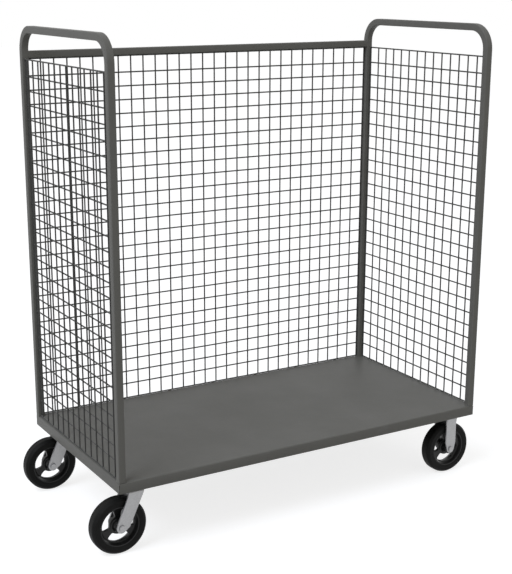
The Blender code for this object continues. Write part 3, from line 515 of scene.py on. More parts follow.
coatValues = {
    "mottle": 0.35, "mottleScale": 6.0, "peelScale": 950.0, "bump": 0.22, "bumpDepth": 0.0003,
    "roughness": 0.46, "roughSpread": 0.1, "metallic": 0.0, "specular": 0.17,
    "dust": 0.12, "dustAndTopLightScale": 14.0, "dustAndTopLightColour": (0.24, 0.235, 0.22),
}
frameValues = {
    **coatValues, "dark": (0.119, 0.117, 0.105), "light": (0.148, 0.146, 0.132),
    "pale": (0.159, 0.156, 0.142),
    "wear": 0.3, "wearWidth": 0.0012, "wearScale": 45.0, "worn": (0.21, 0.21, 0.21),
}
deckValues = {
    **frameValues, "dark": (0.122, 0.121, 0.109), "light": (0.152, 0.15, 0.136),
    "mottle": 0.5, "mottleScale": 3.5, "scuffs": 0.22, "scuffScale": 8.0,
    "dust": 0.2, "dustAndTopLightScale": 5.0, "specular": 0.15,
}
# the mesh wears the same grey powder coat as the frame, painted about three times darker here:
# painted shade on the thin wires
meshPaintedShadeAndTopLightValues = {
    **coatValues, "dark": (0.041, 0.041, 0.038), "light": (0.054, 0.054, 0.05),
    "pale": (0.062, 0.062, 0.058), "peelScale": 1300.0,
    # at this amount the pale dust paints light from above onto the wires' upward faces, over a
    # little real dust
    "dust": 0.85, "dustAndTopLightColour": (0.19, 0.186, 0.172), "specular": 0.25,
}


def grainedFinish(name, values):  # dark and light mix by an output of the grain, or by a cloud
    material, tree = newMaterial(name)
    grain = groupIn(tree, "grain", Scale=values["grainScale"], Stretch=values["stretch"])
    if "cloudScale" in values:
        tint = cloudIn(tree, placeIn(tree), values["cloudScale"], "tint")
    else:
        tint = grain[values["tint"]]
    colour = mixColour(tree, tint, values["dark"], values["light"])
    if "wear" in values:
        colour = rubbed(tree, values, colour)
    closeFinish(tree, values, colour, grain["Height"], grain["Height"])
    return material


zincValues = {
    "tint": "Fleck", "dark": (0.37, 0.37, 0.373), "light": (0.415, 0.415, 0.418),
    "grainScale": 420.0, "stretch": 3.0, "bump": 0.12, "bumpDepth": 0.0002,
    "wear": 0.5, "wearWidth": 0.0008, "wearScale": 120.0, "worn": (0.62, 0.62, 0.62),
    "dust": 0.12, "dustAndTopLightScale": 30.0, "dustAndTopLightColour": (0.4, 0.39, 0.37),
    "roughness": 0.34, "roughSpread": 0.2, "metallic": 0.75, "specular": 0.5,
}
oiledValues = {
    **zincValues, "dark": (0.17, 0.165, 0.16), "light": (0.24, 0.235, 0.23),
    "worn": (0.4, 0.4, 0.4), "roughness": 0.22, "metallic": 1.0,
}
ironValues = {
    "tint": "Height", "dark": (0.004, 0.004, 0.004), "light": (0.009, 0.009, 0.0085),
    "grainScale": 380.0, "stretch": 1.0, "bump": 0.4, "bumpDepth": 0.0004,
    "wear": 0.25, "wearWidth": 0.001, "wearScale": 70.0, "worn": (0.05, 0.05, 0.05),
    "dust": 0.04, "dustAndTopLightScale": 22.0, "dustAndTopLightColour": (0.05, 0.048, 0.043),
    "roughness": 0.26, "roughSpread": 0.18, "metallic": 0.0, "specular": 0.3,
}
rubberValues = {
    "cloudScale": 35.0, "dark": (0.004, 0.004, 0.0037), "light": (0.008, 0.008, 0.0075),
    "grainScale": 900.0, "stretch": 1.0, "bump": 0.25, "bumpDepth": 0.0002,
    "dust": 0.04, "dustAndTopLightScale": 16.0, "dustAndTopLightColour": (0.04, 0.038, 0.034),
    "roughness": 0.5, "roughSpread": 0.15, "metallic": 0.0, "specular": 0.12,
}
finishes = {  # each material, and the name of the record's slot for its pieces, which nothing here assigns
    "frame": (powderCoat("framePowderCoat", frameValues), "frame_paint"),
    "deck": (powderCoat("deckPowderCoat", deckValues), "frame_paint"),
    # the mesh coat carries painted shade on the wires and painted light on their upward faces
    "mesh": (powderCoat("meshCoatPaintedShadeAndTopLight", meshPaintedShadeAndTopLightValues), "mesh_paint"),
    "zinc": (grainedFinish("zincPlate", zincValues), "zinc_plate"),
    "oiled": (grainedFinish("oiledSteel", oiledValues), "oiled_steel"),
    "iron": (grainedFinish("blackWheelIron", ironValues), "black_iron"),
    "rubber": (grainedFinish("blackWheelRubber", rubberValues), "black_rubber"),
}
print("finishes made")


def addPiece(name, mesh, finish, body="cart", nodes=(), place=None):
    material, slot = finishes[finish]
    piece = inScene(name, mesh)
    mesh.materials.clear()
    mesh.materials.append(material)
    if place is not None:
        piece.matrix_world = place
    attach(piece, body)
    if nodes:
        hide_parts(*nodes)


def standIn(node, mesh, finish, body="cart", place=None):
    addPiece(camel(node), mesh, finish, body, [node], place)


# Deck and the channels under it

deck = {"sheet": 0.0027, "bend": 0.005, "bendSteps": 8, "seam": 0.0018, "edge": 0.0005}
deckLow, deckHigh, deckMiddle = boxOf("deck_pan")


def deckMesh():
    size = deckHigh - deckLow
    bm = bmesh.new()
    box = Matrix.Translation(deckMiddle) @ Matrix.Diagonal((*size, 1.0))
    bmesh.ops.create_cube(bm, size=1.0, matrix=box)
    underside = [face for face in bm.faces if face.normal.z < -0.5]
    bmesh.ops.delete(bm, geom=underside, context="FACES_ONLY")
    folds = [edge for edge in bm.edges if all(vert.co.z > deckMiddle.z for vert in edge.verts)]
    bend = {"offset": deck["bend"], "segments": deck["bendSteps"], "profile": 0.5}
    bmesh.ops.bevel(bm, geom=folds, affect="EDGES", **bend)
    pan = workObject(meshOf(bm, "deckPan"))
    thicken(pan, deck["sheet"], -1.0)
    seams = bmesh.new()
    height = size.z - deck["bend"]
    slit = Matrix.Diagonal((4 * deck["sheet"], deck["seam"], height + 2 * deck["seam"], 1.0))
    for x in (deckLow.x, deckHigh.x):
        for y in (deckLow.y, deckHigh.y):
            turn = Matrix.Rotation(math.copysign(math.pi / 4, (x - deckMiddle.x) * y), 4, "Z")
            move = Matrix.Translation((x, y, deckLow.z + height / 2 - deck["seam"]))
            bmesh.ops.create_cube(seams, size=1.0, matrix=move @ turn @ slit)
    cutter = workObject(meshOf(seams, "deckSeams"))
    cutAway(pan, cutter)
    easeEdges(pan, deck["edge"])
    return settled(pan, [cutter])


standIn("deck_pan", deckMesh(), "deck")

channel = {"sheet": 0.0046, "bend": 0.0052, "edge": 0.0006}
stiffener = {"sheet": 0.0027, "bend": 0.0036, "edge": 0.0005}
stud = {
    "spacing": (0.0921, 0.0667), "radius": 0.00475, "pitch": 0.00144, "threadIn": 0.0016,
    "nutAcross": 0.0143, "nutHeight": 0.0058, "nutPlay": 0.0002, "steps": 24,
}
plate = {
    "thickness": 0.00635, "corner": 0.008, "slotWidth": 0.0109, "slotLength": 0.0195,
    "edge": 0.0009,
}
plateLow, plateHigh, plateMiddle = boxOf("front_left_plate")
plateTop, plateBottom = plateHigh.z, plateHigh.z - plate["thickness"]
casterMiddle = {
    "front_left": plateMiddle, "back_left": boxOf("back_left_plate")[2],
    "front_right": boxOf("front_right_frame")[2], "back_right": boxOf("back_right_frame")[2],
}


def studPlaces():
    halfX, halfY = (spacing / 2 for spacing in stud["spacing"])
    return [(x, y) for x in (-halfX, halfX) for y in (-halfY, halfY)]


def bentSheet(name, low, high, values, acrossAxis):  # an upward channel that fills the given box
    half = (high - low)[acrossAxis] / 2 - values["sheet"] / 2
    bottom = low.z + values["sheet"] / 2
    bend = values["bend"] + values["sheet"] / 2
    corners = [(-half, high.z), (-half, bottom, bend), (half, bottom, bend), (half, high.z)]
    across, run = levelAxes[acrossAxis], levelAxes[1 - acrossAxis]
    rows = []
    for end in (low, high):
        at = across * (low + high)[acrossAxis] / 2 + run * end[1 - acrossAxis]
        rows.append([at + across * u + alongZ * z for u, z in roundedPath(corners)])
    bm = bmesh.new()
    skin(bm, rows, around=False)
    return sheetFrom(bm, name, values["sheet"], values["edge"])


def addChannel(node, casters):  # with the studs welded into it and their nuts
    low, high, _ = boxOf(node)
    name = camel(node)
    sheetLow = Vector((low.x, low.y, deckLow.z))
    standIn(node, bentSheet(name, sheetLow, high, channel, 0), "frame")
    bm = bmesh.new()
    shank = stud["radius"]
    nutTop = plateBottom - stud["nutPlay"]
    nutLow = nutTop - stud["nutHeight"]
    thread = threadRings(shank, low.z, nutLow + stud["threadIn"], stud["pitch"])
    rod = [(shank, sheetLow.z + channel["sheet"] / 2), (shank, nutTop)] + thread[::-1]
    nut = hexRings(stud["nutAcross"], nutLow, nutTop) + [(shank, nutTop), (shank, nutLow)]
    for caster in casters:
        for x, y in studPlaces():
            at = (casterMiddle[caster].x + x, casterMiddle[caster].y + y)
            ringSolid(bm, rod, stud["steps"], False, at)
            ringSolid(bm, nut, smooth["turnSteps"], True, at)
    addPiece(f"{name}Studs", meshOf(bm, f"{name}Studs"), "zinc")


addChannel("caster_channel_left", ("front_left", "back_left"))
addChannel("caster_channel_right", ("front_right", "back_right"))
for node in ("deck_stiffener_front", "deck_stiffener_back"):
    low, high, _ = boxOf(node)
    standIn(node, bentSheet(camel(node), low, high, stiffener, 1), "frame")
print("deck and channels made")


# End frames and back rail

tube = {
    "wall": 0.0021, "corner": 0.003, "innerCorner": 0.0014, "cornerStep": math.radians(18),
    "bend": 0.0787, "bendStep": math.radians(4.5),
}
endFrames = ("end_frame_left", "end_frame_right")
railLow, railHigh, railMiddle = boxOf("back_rail")
tubeSize = railHigh.z - railLow.z


def squareSection(size, corner):
    corners = [(u * size / 2, v * size / 2, corner) for u, v in squareSigns]
    return roundedPath(corners, True, tube["cornerStep"])


def hollowSweep(name, path, size, across):
    outside = squareSection(size, tube["corner"])
    inside = squareSection(size - 2 * tube["wall"], tube["innerCorner"])
    outer, inner = (sweptRows(path, section, across) for section in (outside, inside))
    bm = bmesh.new()
    skin(bm, outer + inner[::-1], closed=True)
    return meshOf(bm, name)


def endFrameMesh(node):
    low, high, middle = boxOf(node)
    size = high.x - low.x
    left, right, top = low.y + size / 2, high.y - size / 2, high.z - size / 2
    bend = tube["bend"]
    corners = [(left, low.z), (left, top, bend), (right, top, bend), (right, low.z)]
    bent = roundedPath(corners, arcStep=tube["bendStep"])
    return hollowSweep(camel(node), [Vector((middle.x, y, z)) for y, z in bent], size, alongX)


for node in endFrames:
    standIn(node, endFrameMesh(node), "frame")
railPath = [Vector((x, railMiddle.y, railMiddle.z)) for x in (railLow.x, railHigh.x)]
standIn("back_rail", hollowSweep("backRail", railPath, tubeSize, alongZ), "frame")

frameWeld = {
    "sink": 0.0006, "lift": 0.0003, "short": 0.004, "railRadius": 0.002, "railReach": 0.86,
}


def addBeads(name, beads):  # each bead as weldBead takes it
    bm = bmesh.new()
    for bead in beads:
        weldBead(bm, *bead)
    addPiece(name, meshOf(bm, name), "frame")


def beadRow(middle, along, across, count, apart, values):  # one in the middle, count on each side
    half = along * values["length"] / 2
    places = [middle + along * (index * apart) for index in range(-count, count + 1)]
    return [([at - half, at + half], across, values["radius"]) for at in places]


def frameBeads():  # round three sides of each foot, and round the rail's ends
    half = tubeSize / 2 - frameWeld["sink"]
    short = half - frameWeld["short"]
    beads = []
    for node in endFrames:
        low, high, middle = boxOf(node)
        inward = math.copysign(1.0, -middle.x)
        for y in (low.y + tubeSize / 2, high.y - tubeSize / 2):
            toMiddle = math.copysign(1.0, -y)
            foot = Vector((middle.x, y, low.z + frameWeld["lift"]))
            turns = [(-short, half), (half, half), (half, -short)]
            corners = [foot + Vector((inward * u, toMiddle * v, 0.0)) for u, v in turns]
            beads.append((corners, alongZ))
    reach = half * frameWeld["railReach"]
    for x in (railLow.x, railHigh.x):
        end = Vector((x, railMiddle.y, railMiddle.z))
        corners = [end + Vector((0.0, v * reach, w * reach)) for v, w in squareSigns]
        beads.append((corners, alongX, frameWeld["railRadius"], True))
    return beads


addBeads("frameWelds", frameBeads())

stitch = {"length": 0.045, "apart": 0.15, "radius": 0.0026, "drop": 0.0006}
underDeck = {  # the axis each one runs along
    "caster_channel_left": 1, "caster_channel_right": 1,
    "deck_stiffener_front": 0, "deck_stiffener_back": 0,
}


def deckBeads():  # the channels and stiffeners are welded on in short runs
    beads = []
    for node, runAxis in underDeck.items():
        low, high, middle = boxOf(node)
        middle.z = deckHigh.z - deck["sheet"] - stitch["drop"]
        count = int(((high - low)[runAxis] / 2 - stitch["length"]) / stitch["apart"])
        for face in (low, high):
            middle[1 - runAxis] = face[1 - runAxis]
            beads += beadRow(middle, levelAxes[runAxis], alongZ, count, stitch["apart"], stitch)
    return beads


addBeads("underDeckWelds", deckBeads())
print("frames, rail and welds made")


# Welded mesh panels

wire = {"diameter": 0.0054, "pitch": 0.0508, "sides": 12, "setDown": 0.0009}
nugget = {"reach": 0.47, "thickness": 0.2, "belt": (0.87, 0.5), "sides": 8, "endShift": 0.4}
panels = {"back_mesh": (0, 28), "left_mesh": (1, 14), "right_mesh": (1, 13)}  # run axis, uprights


def addRod(bm, middle, half, across):
    section = circlePoints(wire["diameter"] / 2, steps=wire["sides"])
    skin(bm, sweptRows([middle - half, middle + half], section, across), capped=True)


def addNugget(bm, centre, normalAxis):  # the squeezed-out metal where two wires are welded
    reach = [wire["diameter"] * nugget["reach"]] * 3
    reach[normalAxis] = wire["diameter"] * nugget["thickness"]
    poles = [bm.verts.new(centre + alongZ * reach[2] * side) for side in (-1, 1)]
    rows = []
    width, lift = nugget["belt"]
    for side in (-1, 1):
        row = []
        for step in range(nugget["sides"]):
            x, y = polar(width, math.tau * (step + 0.5) / nugget["sides"])
            row.append(centre + Vector((x * reach[0], y * reach[1], reach[2] * lift * side)))
        rows.append(row)
    for pole, ring in zip(poles, skin(bm, rows)):
        for one, other in zip(ring, ring[1:] + ring[:1]):
            bm.faces.new((one, other, pole))


def centred(count):
    return [(index - (count - 1) / 2) * wire["pitch"] for index in range(count)]


def addLadder(bm, middle, rail, rung, across, railHalf, rungHalf, places):  # two rails, and rungs
    for side in (-1, 1):
        addRod(bm, middle + rung * side * rungHalf, rail * railHalf, across)
    for place in places:
        addRod(bm, middle + rail * place, rung * rungHalf, across)


def addPanel(node, runAxis, upCount):
    normalAxis = 1 - runAxis
    run, normal = levelAxes[runAxis], levelAxes[normalAxis]
    upLow, upHigh, upMiddle = boxOf(f"{node}_uprights")
    crossLow, crossHigh, crossMiddle = boxOf(f"{node}_crosswires")
    toUprights = math.copysign(wire["setDown"] / 2, (upMiddle - crossMiddle)[normalAxis])
    upMiddle -= normal * toUprights  # welding sinks the wires into each other
    crossMiddle += normal * toUprights
    rod, size = wire["diameter"], upHigh - upLow
    width, height = (size[runAxis] - rod) / 2, (size.z - rod) / 2
    upAt, crossAt = centred(upCount), centred(round(2 * height / wire["pitch"]) - 1)

    bm = bmesh.new()
    addLadder(bm, upMiddle, run, alongZ, normal, width + rod / 2, height, upAt)
    for place in upAt:
        for side in (-1, 1):
            end = alongZ * side * (height - rod * nugget["endShift"])
            addNugget(bm, upMiddle + run * place + end, normalAxis)
    standIn(f"{node}_uprights", meshOf(bm, f"{camel(node)}Uprights"), "mesh")

    bm = bmesh.new()
    crossHalf = (crossHigh - crossLow).z / 2
    addLadder(bm, crossMiddle, alongZ, run, normal, crossHalf, width, crossAt)
    between = crossMiddle + normal * (upMiddle - crossMiddle)[normalAxis] / 2
    for level in crossAt:
        for place in upAt:
            addNugget(bm, between + alongZ * level + run * place, normalAxis)
    standIn(f"{node}_crosswires", meshOf(bm, f"{camel(node)}CrossWires"), "mesh")


tack = {"every": 4, "onSides": 3, "shift": 0.25, "length": 0.013, "radius": 0.0019}


def tackBeads():  # short beads that hold the edge wires to the tubes, the rail and the deck
    apart = tack["every"] * wire["pitch"]
    beads = []
    for node, (runAxis, _) in panels.items():
        run, normal = levelAxes[runAxis], levelAxes[1 - runAxis]
        low, high, middle = boxOf(f"{node}_uprights")
        middle += run * wire["pitch"] * tack["shift"]
        sideMiddle = boxOf(f"{node}_crosswires")[2]
        width, height = (high - low)[runAxis] / 2, (high - low).z / 2
        for side in (-1, 1):
            edge = sideMiddle + run * side * width
            beads += beadRow(edge, alongZ, normal, tack["onSides"], apart, tack)
            if side < 0 or runAxis == 0:  # nothing stands over the side panels' top wires
                edge = middle + alongZ * side * height
                beads += beadRow(edge, run, normal, int(width / apart), apart, tack)
    return beads


for node, (runAxis, upCount) in panels.items():
    addPanel(node, runAxis, upCount)
addBeads("meshTacks", tackBeads())
print("mesh panels made")


# Casters

race = {  # a groove is (play round the balls, first angle, last angle, steps)
    "height": 0.007, "cup": 0.0262, "skirt": 0.0024, "skirtHeight": 0.0052, "step": 0.0006,
    "cupRounds": (0.0012, 0.0009, 0.0008), "cupGroove": (0.00015, 40, 140, 10),
    "ball": 0.0048, "balls": 24, "ballSteps": (14, 8), "circle": 0.0187, "padWidth": 0.0072,
    "padRounds": (0.0006, 0.0005), "padLip": 0.0002, "padFoot": 0.001,
    "padGroove": (0.0001, 230, 310, 8), "steps": 72,
}
kingpin = {
    "radius": 0.0064, "head": 0.0125, "headHeight": 0.0035, "headEase": (0.0014, 0.001),
    "dish": 0.4, "sink": 0.0002, "nutAcross": 0.019, "nutHeight": 0.0075, "end": 0.0015,
    "pitch": 0.00114, "threadIn": 0.001, "threadGap": 0.0002, "tip": (0.78, 0.0004),
    "gap": 0.0008,
}
fork = {
    "plate": 0.00635, "inside": 0.0635, "bend": 0.0055, "bendSteps": 8, "front": 0.035,
    "back": 0.0245, "skirt": 0.0105, "end": 0.0183, "heel": 0.0297, "heelRound": 0.004,
    "edge": 0.0008, "edgeSteps": 3, "endSteps": 28, "mergeReach": 0.00005,
}
rigid = {
    "width": 0.0465, "end": 0.0167, "taper": 0.0265, "bendDrop": 0.0327, "spread": 0.0058,
    "bend": 0.012, "bendStep": math.radians(3), "intoPlate": 0.0006, "weld": 0.0019,
    "weldSink": 0.0002, "weldShort": 0.002,
}
axle = {
    "radius": 0.0064, "nutAcross": 0.019, "headHeight": 0.0055, "nutHeight": 0.0075,
    "intoHead": 0.001, "washer": (0.95, 0.0004), "dish": (0.8, 0.0001), "end": 0.0022,
    "pitch": 0.001365, "threadIn": 0.006, "threadGap": 0.0005, "tip": (0.8, 0.0006),
    "bushing": 0.0098, "bushingRounds": (0.0006, 0.0004), "gap": 0.0003, "headSteps": 96,
}
nutHole = {"play": 0.0002, "chamfer": 0.0007}
wheelRadius = jointAt["front_left_wheel_spin"].z
lead = jointAt["front_left_swivel_turn"].x - jointAt["front_left_wheel_spin"].x
crownTop = plateBottom - race["height"]
ballLevel = crownTop + race["height"] / 2
padIn = race["circle"] - race["padWidth"] / 2
legMiddle = fork["inside"] / 2 + fork["plate"] / 2
legOutside = fork["inside"] / 2 + fork["plate"]


def mountingPlate(name, holes=()):
    halfX, halfY = (plateHigh.x - plateLow.x) / 2, (plateHigh.y - plateLow.y) / 2
    signs = ((1, -1), (1, 1), (-1, 1), (-1, -1))
    outline = roundedPath([(x * halfX, y * halfY, plate["corner"]) for x, y in signs], True)
    slots = [stadium(plate["slotLength"], plate["slotWidth"], at) for at in studPlaces()]
    bm = bmesh.new()
    flatFace(bm, (outline, *slots, *holes), lambda x, y: (x, y, plateBottom))
    made = bmesh.ops.extrude_face_region(bm, geom=bm.faces[:])
    top = [item for item in made["geom"] if isinstance(item, bmesh.types.BMVert)]
    bmesh.ops.translate(bm, verts=top, vec=(0.0, 0.0, plateTop - plateBottom))
    piece = workObject(meshOf(bm, name))
    easeEdges(piece, plate["edge"])
    return settled(piece)


def ballGroove(play, fromAngle, toAngle, steps):  # a race's section, round the balls
    angles = math.radians(fromAngle), math.radians(toAngle)
    return arcPoints((race["circle"], ballLevel), race["ball"] / 2 + play, *angles, steps)


def swivelPlate():
    seat = plateTop - kingpin["headHeight"]
    bore, head = kingpin["radius"] + axle["gap"], kingpin["head"] + axle["gap"]
    flat = mountingPlate("swivelPlate", [circlePoints(head)])
    step = [(head, seat), (head, plateBottom), (bore, plateBottom), (bore, seat)]
    pad = plateBottom - (race["height"] - race["ball"]) / 2
    skirt, skirtIn = plateBottom - race["skirtHeight"], race["cup"] - race["skirt"]
    outside, inside, root = race["cupRounds"]
    cup = [(race["cup"], plateBottom), (race["cup"], skirt, outside), (skirtIn, skirt, inside)]
    cup += [(skirtIn, pad + race["step"], root), *ballGroove(*race["cupGroove"])]
    cup += [(padIn, pad), (padIn, plateBottom)]
    seats = [turnedMesh("pinSeat", step), turnedMesh("raceCup", cup, race["steps"])]
    return joined("swivelPlate", [flat, *seats])


def ballRing():
    bm = bmesh.new()
    across, up = race["ballSteps"]
    ball = {"u_segments": across, "v_segments": up, "radius": race["ball"] / 2}
    for x, y in circlePoints(race["circle"], steps=race["balls"]):
        place = Matrix.Translation((x, y, ballLevel))
        bmesh.ops.create_uvsphere(bm, matrix=place, **ball)
    return meshOf(bm, "ballRing")


def threadedEnd(values, nutAt):  # from the shank at a nut to the narrower tip
    radius, end = values["radius"], nutAt - values["end"]
    tipSize, tipHeight = values["tip"]
    start = nutAt + values["threadIn"]
    threadTop = start - values["threadGap"]
    thread = threadRings(radius, end + tipHeight, threadTop, values["pitch"])
    return [(radius, start), *thread[::-1], (radius * tipSize, end)]


def kingpinMesh():
    nutLow = crownTop - fork["plate"] - kingpin["gap"] - kingpin["nutHeight"]
    head, top = kingpin["head"], plateTop - kingpin["sink"]
    easeIn, easeDown = kingpin["headEase"]
    shoulder = plateTop - kingpin["headHeight"]
    rings = [(head * kingpin["dish"], top), (head - easeIn, top), (head, plateTop - easeDown)]
    rings += [(head, shoulder), (kingpin["radius"], shoulder), *threadedEnd(kingpin, nutLow)]
    bm = bmesh.new()
    ringSolid(bm, rings, smooth["turnSteps"], False)
    return meshOf(bm, "kingpin")


def nutMesh(name, values):
    bm = bmesh.new()
    half, hole = values["nutHeight"] / 2, values["radius"] + nutHole["play"]
    mouth, deep = hole + nutHole["chamfer"], half - nutHole["chamfer"]
    bore = [(mouth, half), (hole, deep), (hole, -deep), (mouth, -half)]
    ringSolid(bm, hexRings(values["nutAcross"], -half, half) + bore, smooth["turnSteps"])
    return meshOf(bm, name)


def tangentAngle(point, centre, radius, side):
    away = Vector(point) - Vector(centre)
    return math.atan2(away.y, away.x) + side * math.acos(radius / away.length)


def addLeg(bm, side, outline, axleAt, rows):  # a flat leg, and the rows of its bend
    hole = circlePoints(axle["radius"] + axle["gap"], axleAt)
    flatFace(bm, (outline, hole), lambda u, v: (u, side * legMiddle, v))
    skin(bm, rows, around=False)


def plateFrom(bm, name):
    bmesh.ops.remove_doubles(bm, verts=bm.verts[:], dist=fork["mergeReach"])
    return sheetFrom(bm, name, fork["plate"], fork["edge"], fork["edgeSteps"])


def forkMesh():
    axleAt = (-lead, wheelRadius)
    crown = crownTop - fork["plate"] / 2
    bendLow = crown - fork["bend"]
    back = -fork["back"]
    knee = (back, crownTop - fork["skirt"])
    heel = (axleAt[0] + fork["heel"], axleAt[1])

    def frontAt(z):  # the front edge leans from the heel up to the crown
        share = (z - heel[1]) / (crownTop - heel[1])
        return heel[0] + (fork["front"] - heel[0]) * share

    fromKnee = tangentAngle(knee, axleAt, fork["end"], 1)
    toHeel = tangentAngle(heel, axleAt, fork["end"], -1) + math.tau
    end = arcPoints(axleAt, fork["end"], fromKnee, toHeel, fork["endSteps"])
    front = roundedPath([end[-1], (*heel, fork["heelRound"]), (frontAt(bendLow), bendLow)])
    bm = bmesh.new()
    for side in (-1, 1):
        rows = []
        for step in range(fork["bendSteps"] + 1):
            out, up = polar(fork["bend"], quarter * step / fork["bendSteps"])
            y, z = side * (legMiddle - fork["bend"] + out), bendLow + up
            rows.append([(back, y, z), (frontAt(z), y, z)])
        addLeg(bm, side, [(back, bendLow), knee, *end, *front[1:]], axleAt, rows)
    half, brow = legMiddle - fork["bend"], frontAt(crown)
    square = [(back, -half), (brow, -half), (brow, half), (back, half)]
    pinHole = circlePoints(kingpin["radius"] + kingpin["gap"])
    flatFace(bm, (square, pinHole), lambda u, v: (u, v, crown))
    strap = plateFrom(bm, "fork")
    padOut = race["circle"] + race["padWidth"] / 2 - kingpin["gap"]
    padTop = crownTop + (race["height"] - race["ball"]) / 2
    inside, outside = race["padRounds"]
    pad = [(padIn, crown), (padIn, padTop, inside), *ballGroove(*race["padGroove"])]
    pad += [(padOut, padTop + race["padLip"], outside), (padOut + race["padFoot"], crown)]
    return joined("fork", [strap, turnedMesh("racePad", pad, race["steps"])])


def rigidFrameMesh():
    half = rigid["width"] / 2
    axleAt = (0.0, wheelRadius)
    shoulder, bendAt = wheelRadius + rigid["taper"], plateTop - rigid["bendDrop"]
    left = tangentAngle((-half, shoulder), axleAt, rigid["end"], 1)
    end = arcPoints(axleAt, rigid["end"], left, 3 * math.pi - left, fork["endSteps"])
    outline = [(-half, shoulder), *end, (half, shoulder)]
    beadHalf = alongX * (half - rigid["weldShort"])
    meshes = [mountingPlate("rigidFrame")]
    for side in (-1, 1):
        topAt = side * (legMiddle + rigid["spread"])
        corners = [(side * legMiddle, shoulder), (side * legMiddle, bendAt, rigid["bend"])]
        corners.append((topAt, plateBottom + rigid["intoPlate"]))
        path = roundedPath(corners, arcStep=rigid["bendStep"])
        bm = bmesh.new()
        addLeg(bm, side, outline, axleAt, [[(x, y, z) for x in (-half, half)] for y, z in path])
        meshes.append(plateFrom(bm, "rigidLeg"))
        bm = bmesh.new()
        for face in (-1, 1):
            y = topAt + face * fork["plate"] / 2
            at = Vector((0.0, y, plateBottom - rigid["weldSink"]))
            weldBead(bm, [at - beadHalf, at + beadHalf], alongZ, rigid["weld"])
        meshes.append(meshOf(bm, "legWelds"))
    return joined("rigidFrame", meshes)


tyre = {  # points of the bead are (out, wider, rounding), of the wall (out, rounding)
    "tread": 0.0508, "shoulder": 0.0095, "play": 0.0002,
    "bead": ((0.0, 0.0), (0.0022, 0.0004, 0.0006), (0.003, 0.0012, 0.0006)),
    "wall": ((-0.001, 0.003), (0.0004, 0.0003)), "treadDrop": 0.0004, "treadShare": 0.98,
    "treadRound": 0.0085, "seam": 0.0022, "seamDepth": 0.0003, "steps": 128,
}
hub = {
    "rim": 0.0724, "rimWidth": 0.046, "lipDrop": 0.0002, "mouth": 0.0688, "root": 0.0617,
    "web": 0.0127, "barrelRoot": 0.0228, "barrelEnd": 0.0212, "barrelLength": 0.0619,
    "bore": 0.0151, "rounds": (0.0004, 0.0008, 0.004, 0.0045, 0.0012, 0.0006),
    "steps": 96, "mergeReach": 0.00003,
}
opening = {
    "count": 3, "inner": 0.0323, "outer": 0.0597, "corner": 0.0074, "span": math.radians(87),
    "turn": math.radians(30), "cornerSteps": 7, "outerSteps": 14, "innerSteps": 10,
    "flare": ((-0.004, 0.005), (0.0, 0.001), (0.001, 0.0002)),  # (depth, growth) at the web's faces
}


def tyreMesh():
    half, bed = tyre["tread"] / 2, hub["rimWidth"] / 2
    inner, side = hub["rim"] + tyre["play"], wheelRadius - tyre["shoulder"]
    edge = half - tyre["shoulder"] * tyre["treadShare"]
    upper = [(inner + out, bed + wider, *rounding) for out, wider, *rounding in tyre["bead"]]
    upper += [(side + out, half, rounding) for out, rounding in tyre["wall"]]
    upper.append((wheelRadius - tyre["treadDrop"], edge, tyre["treadRound"]))
    upper.append((wheelRadius, tyre["seam"]))
    middle = (wheelRadius - tyre["seamDepth"], 0.0)
    return turnedMesh("tyre", [*upper, middle, *mirrored(upper)[::-1]], tyre["steps"])


def openingOutline(turn, grow):  # one opening between two spokes, moved out by grow
    corner, steps = opening["corner"], opening["cornerSteps"]
    outReach, inReach = opening["outer"] - corner, opening["inner"] + corner
    half = opening["span"] / 2
    outAngle, inAngle = half - corner / outReach, half - corner / inReach
    ends = []
    for side in (-1, 1):
        atOut, atIn = turn + side * outAngle, turn + side * inAngle
        across, bend = turn + side * (half + quarter), corner + grow
        end = arcPoints(polar(outReach, atOut), bend, atOut, across, steps)
        end += arcPoints(polar(inReach, atIn), bend, across, atIn + side * math.pi, steps)
        ends.append(end)
    left, right = ends
    outerReach, innerReach = opening["outer"] + grow, opening["inner"] - grow
    outer = arcPoints((0, 0), outerReach, turn - outAngle, turn + outAngle, opening["outerSteps"])
    inner = arcPoints((0, 0), innerReach, turn + inAngle, turn - inAngle, opening["innerSteps"])
    return outer[1:-1] + right + inner[1:-1] + left[::-1]


def hubMesh():
    web, rimHalf, barrelHalf = hub["web"] / 2, hub["rimWidth"] / 2, hub["barrelLength"] / 2
    profile = [
        (hub["rim"], rimHalf - hub["lipDrop"]), (hub["mouth"], rimHalf), (hub["root"], web),
        (hub["barrelRoot"], web), (hub["barrelEnd"], barrelHalf), (hub["bore"], barrelHalf),
    ]
    upper = [(*corner, rounding) for corner, rounding in zip(profile, hub["rounds"])]
    corners = [upper[0], *mirrored(upper), *upper[:0:-1]]
    casting = workObject(turnedMesh("hub", corners, hub["steps"]))
    heights = [(depth - web, grow) for depth, grow in opening["flare"]]
    heights = [*heights, (0.0, 0.0), *((-height, grow) for height, grow in heights[::-1])]
    bm = bmesh.new()
    for index in range(opening["count"]):
        turn = opening["turn"] + index * math.tau / opening["count"]
        rows = []
        for height, grow in heights:
            rows.append([(x, y, height) for x, y in openingOutline(turn, grow)])
        skin(bm, rows, capped=True)
    cutter = workObject(meshOf(bm, "openings"))
    cutAway(casting, cutter)
    merged = casting.modifiers.new("mergedPoints", "WELD")
    merged.merge_threshold = hub["mergeReach"]  # the cut leaves points on top of each other
    return settled(casting, [cutter])


bearing = {
    "length": 0.058, "inside": 0.0106, "outside": 0.0145, "ring": 0.004, "rollers": 13,
    "rollerPlay": 0.0001, "rollerSteps": 14,
}


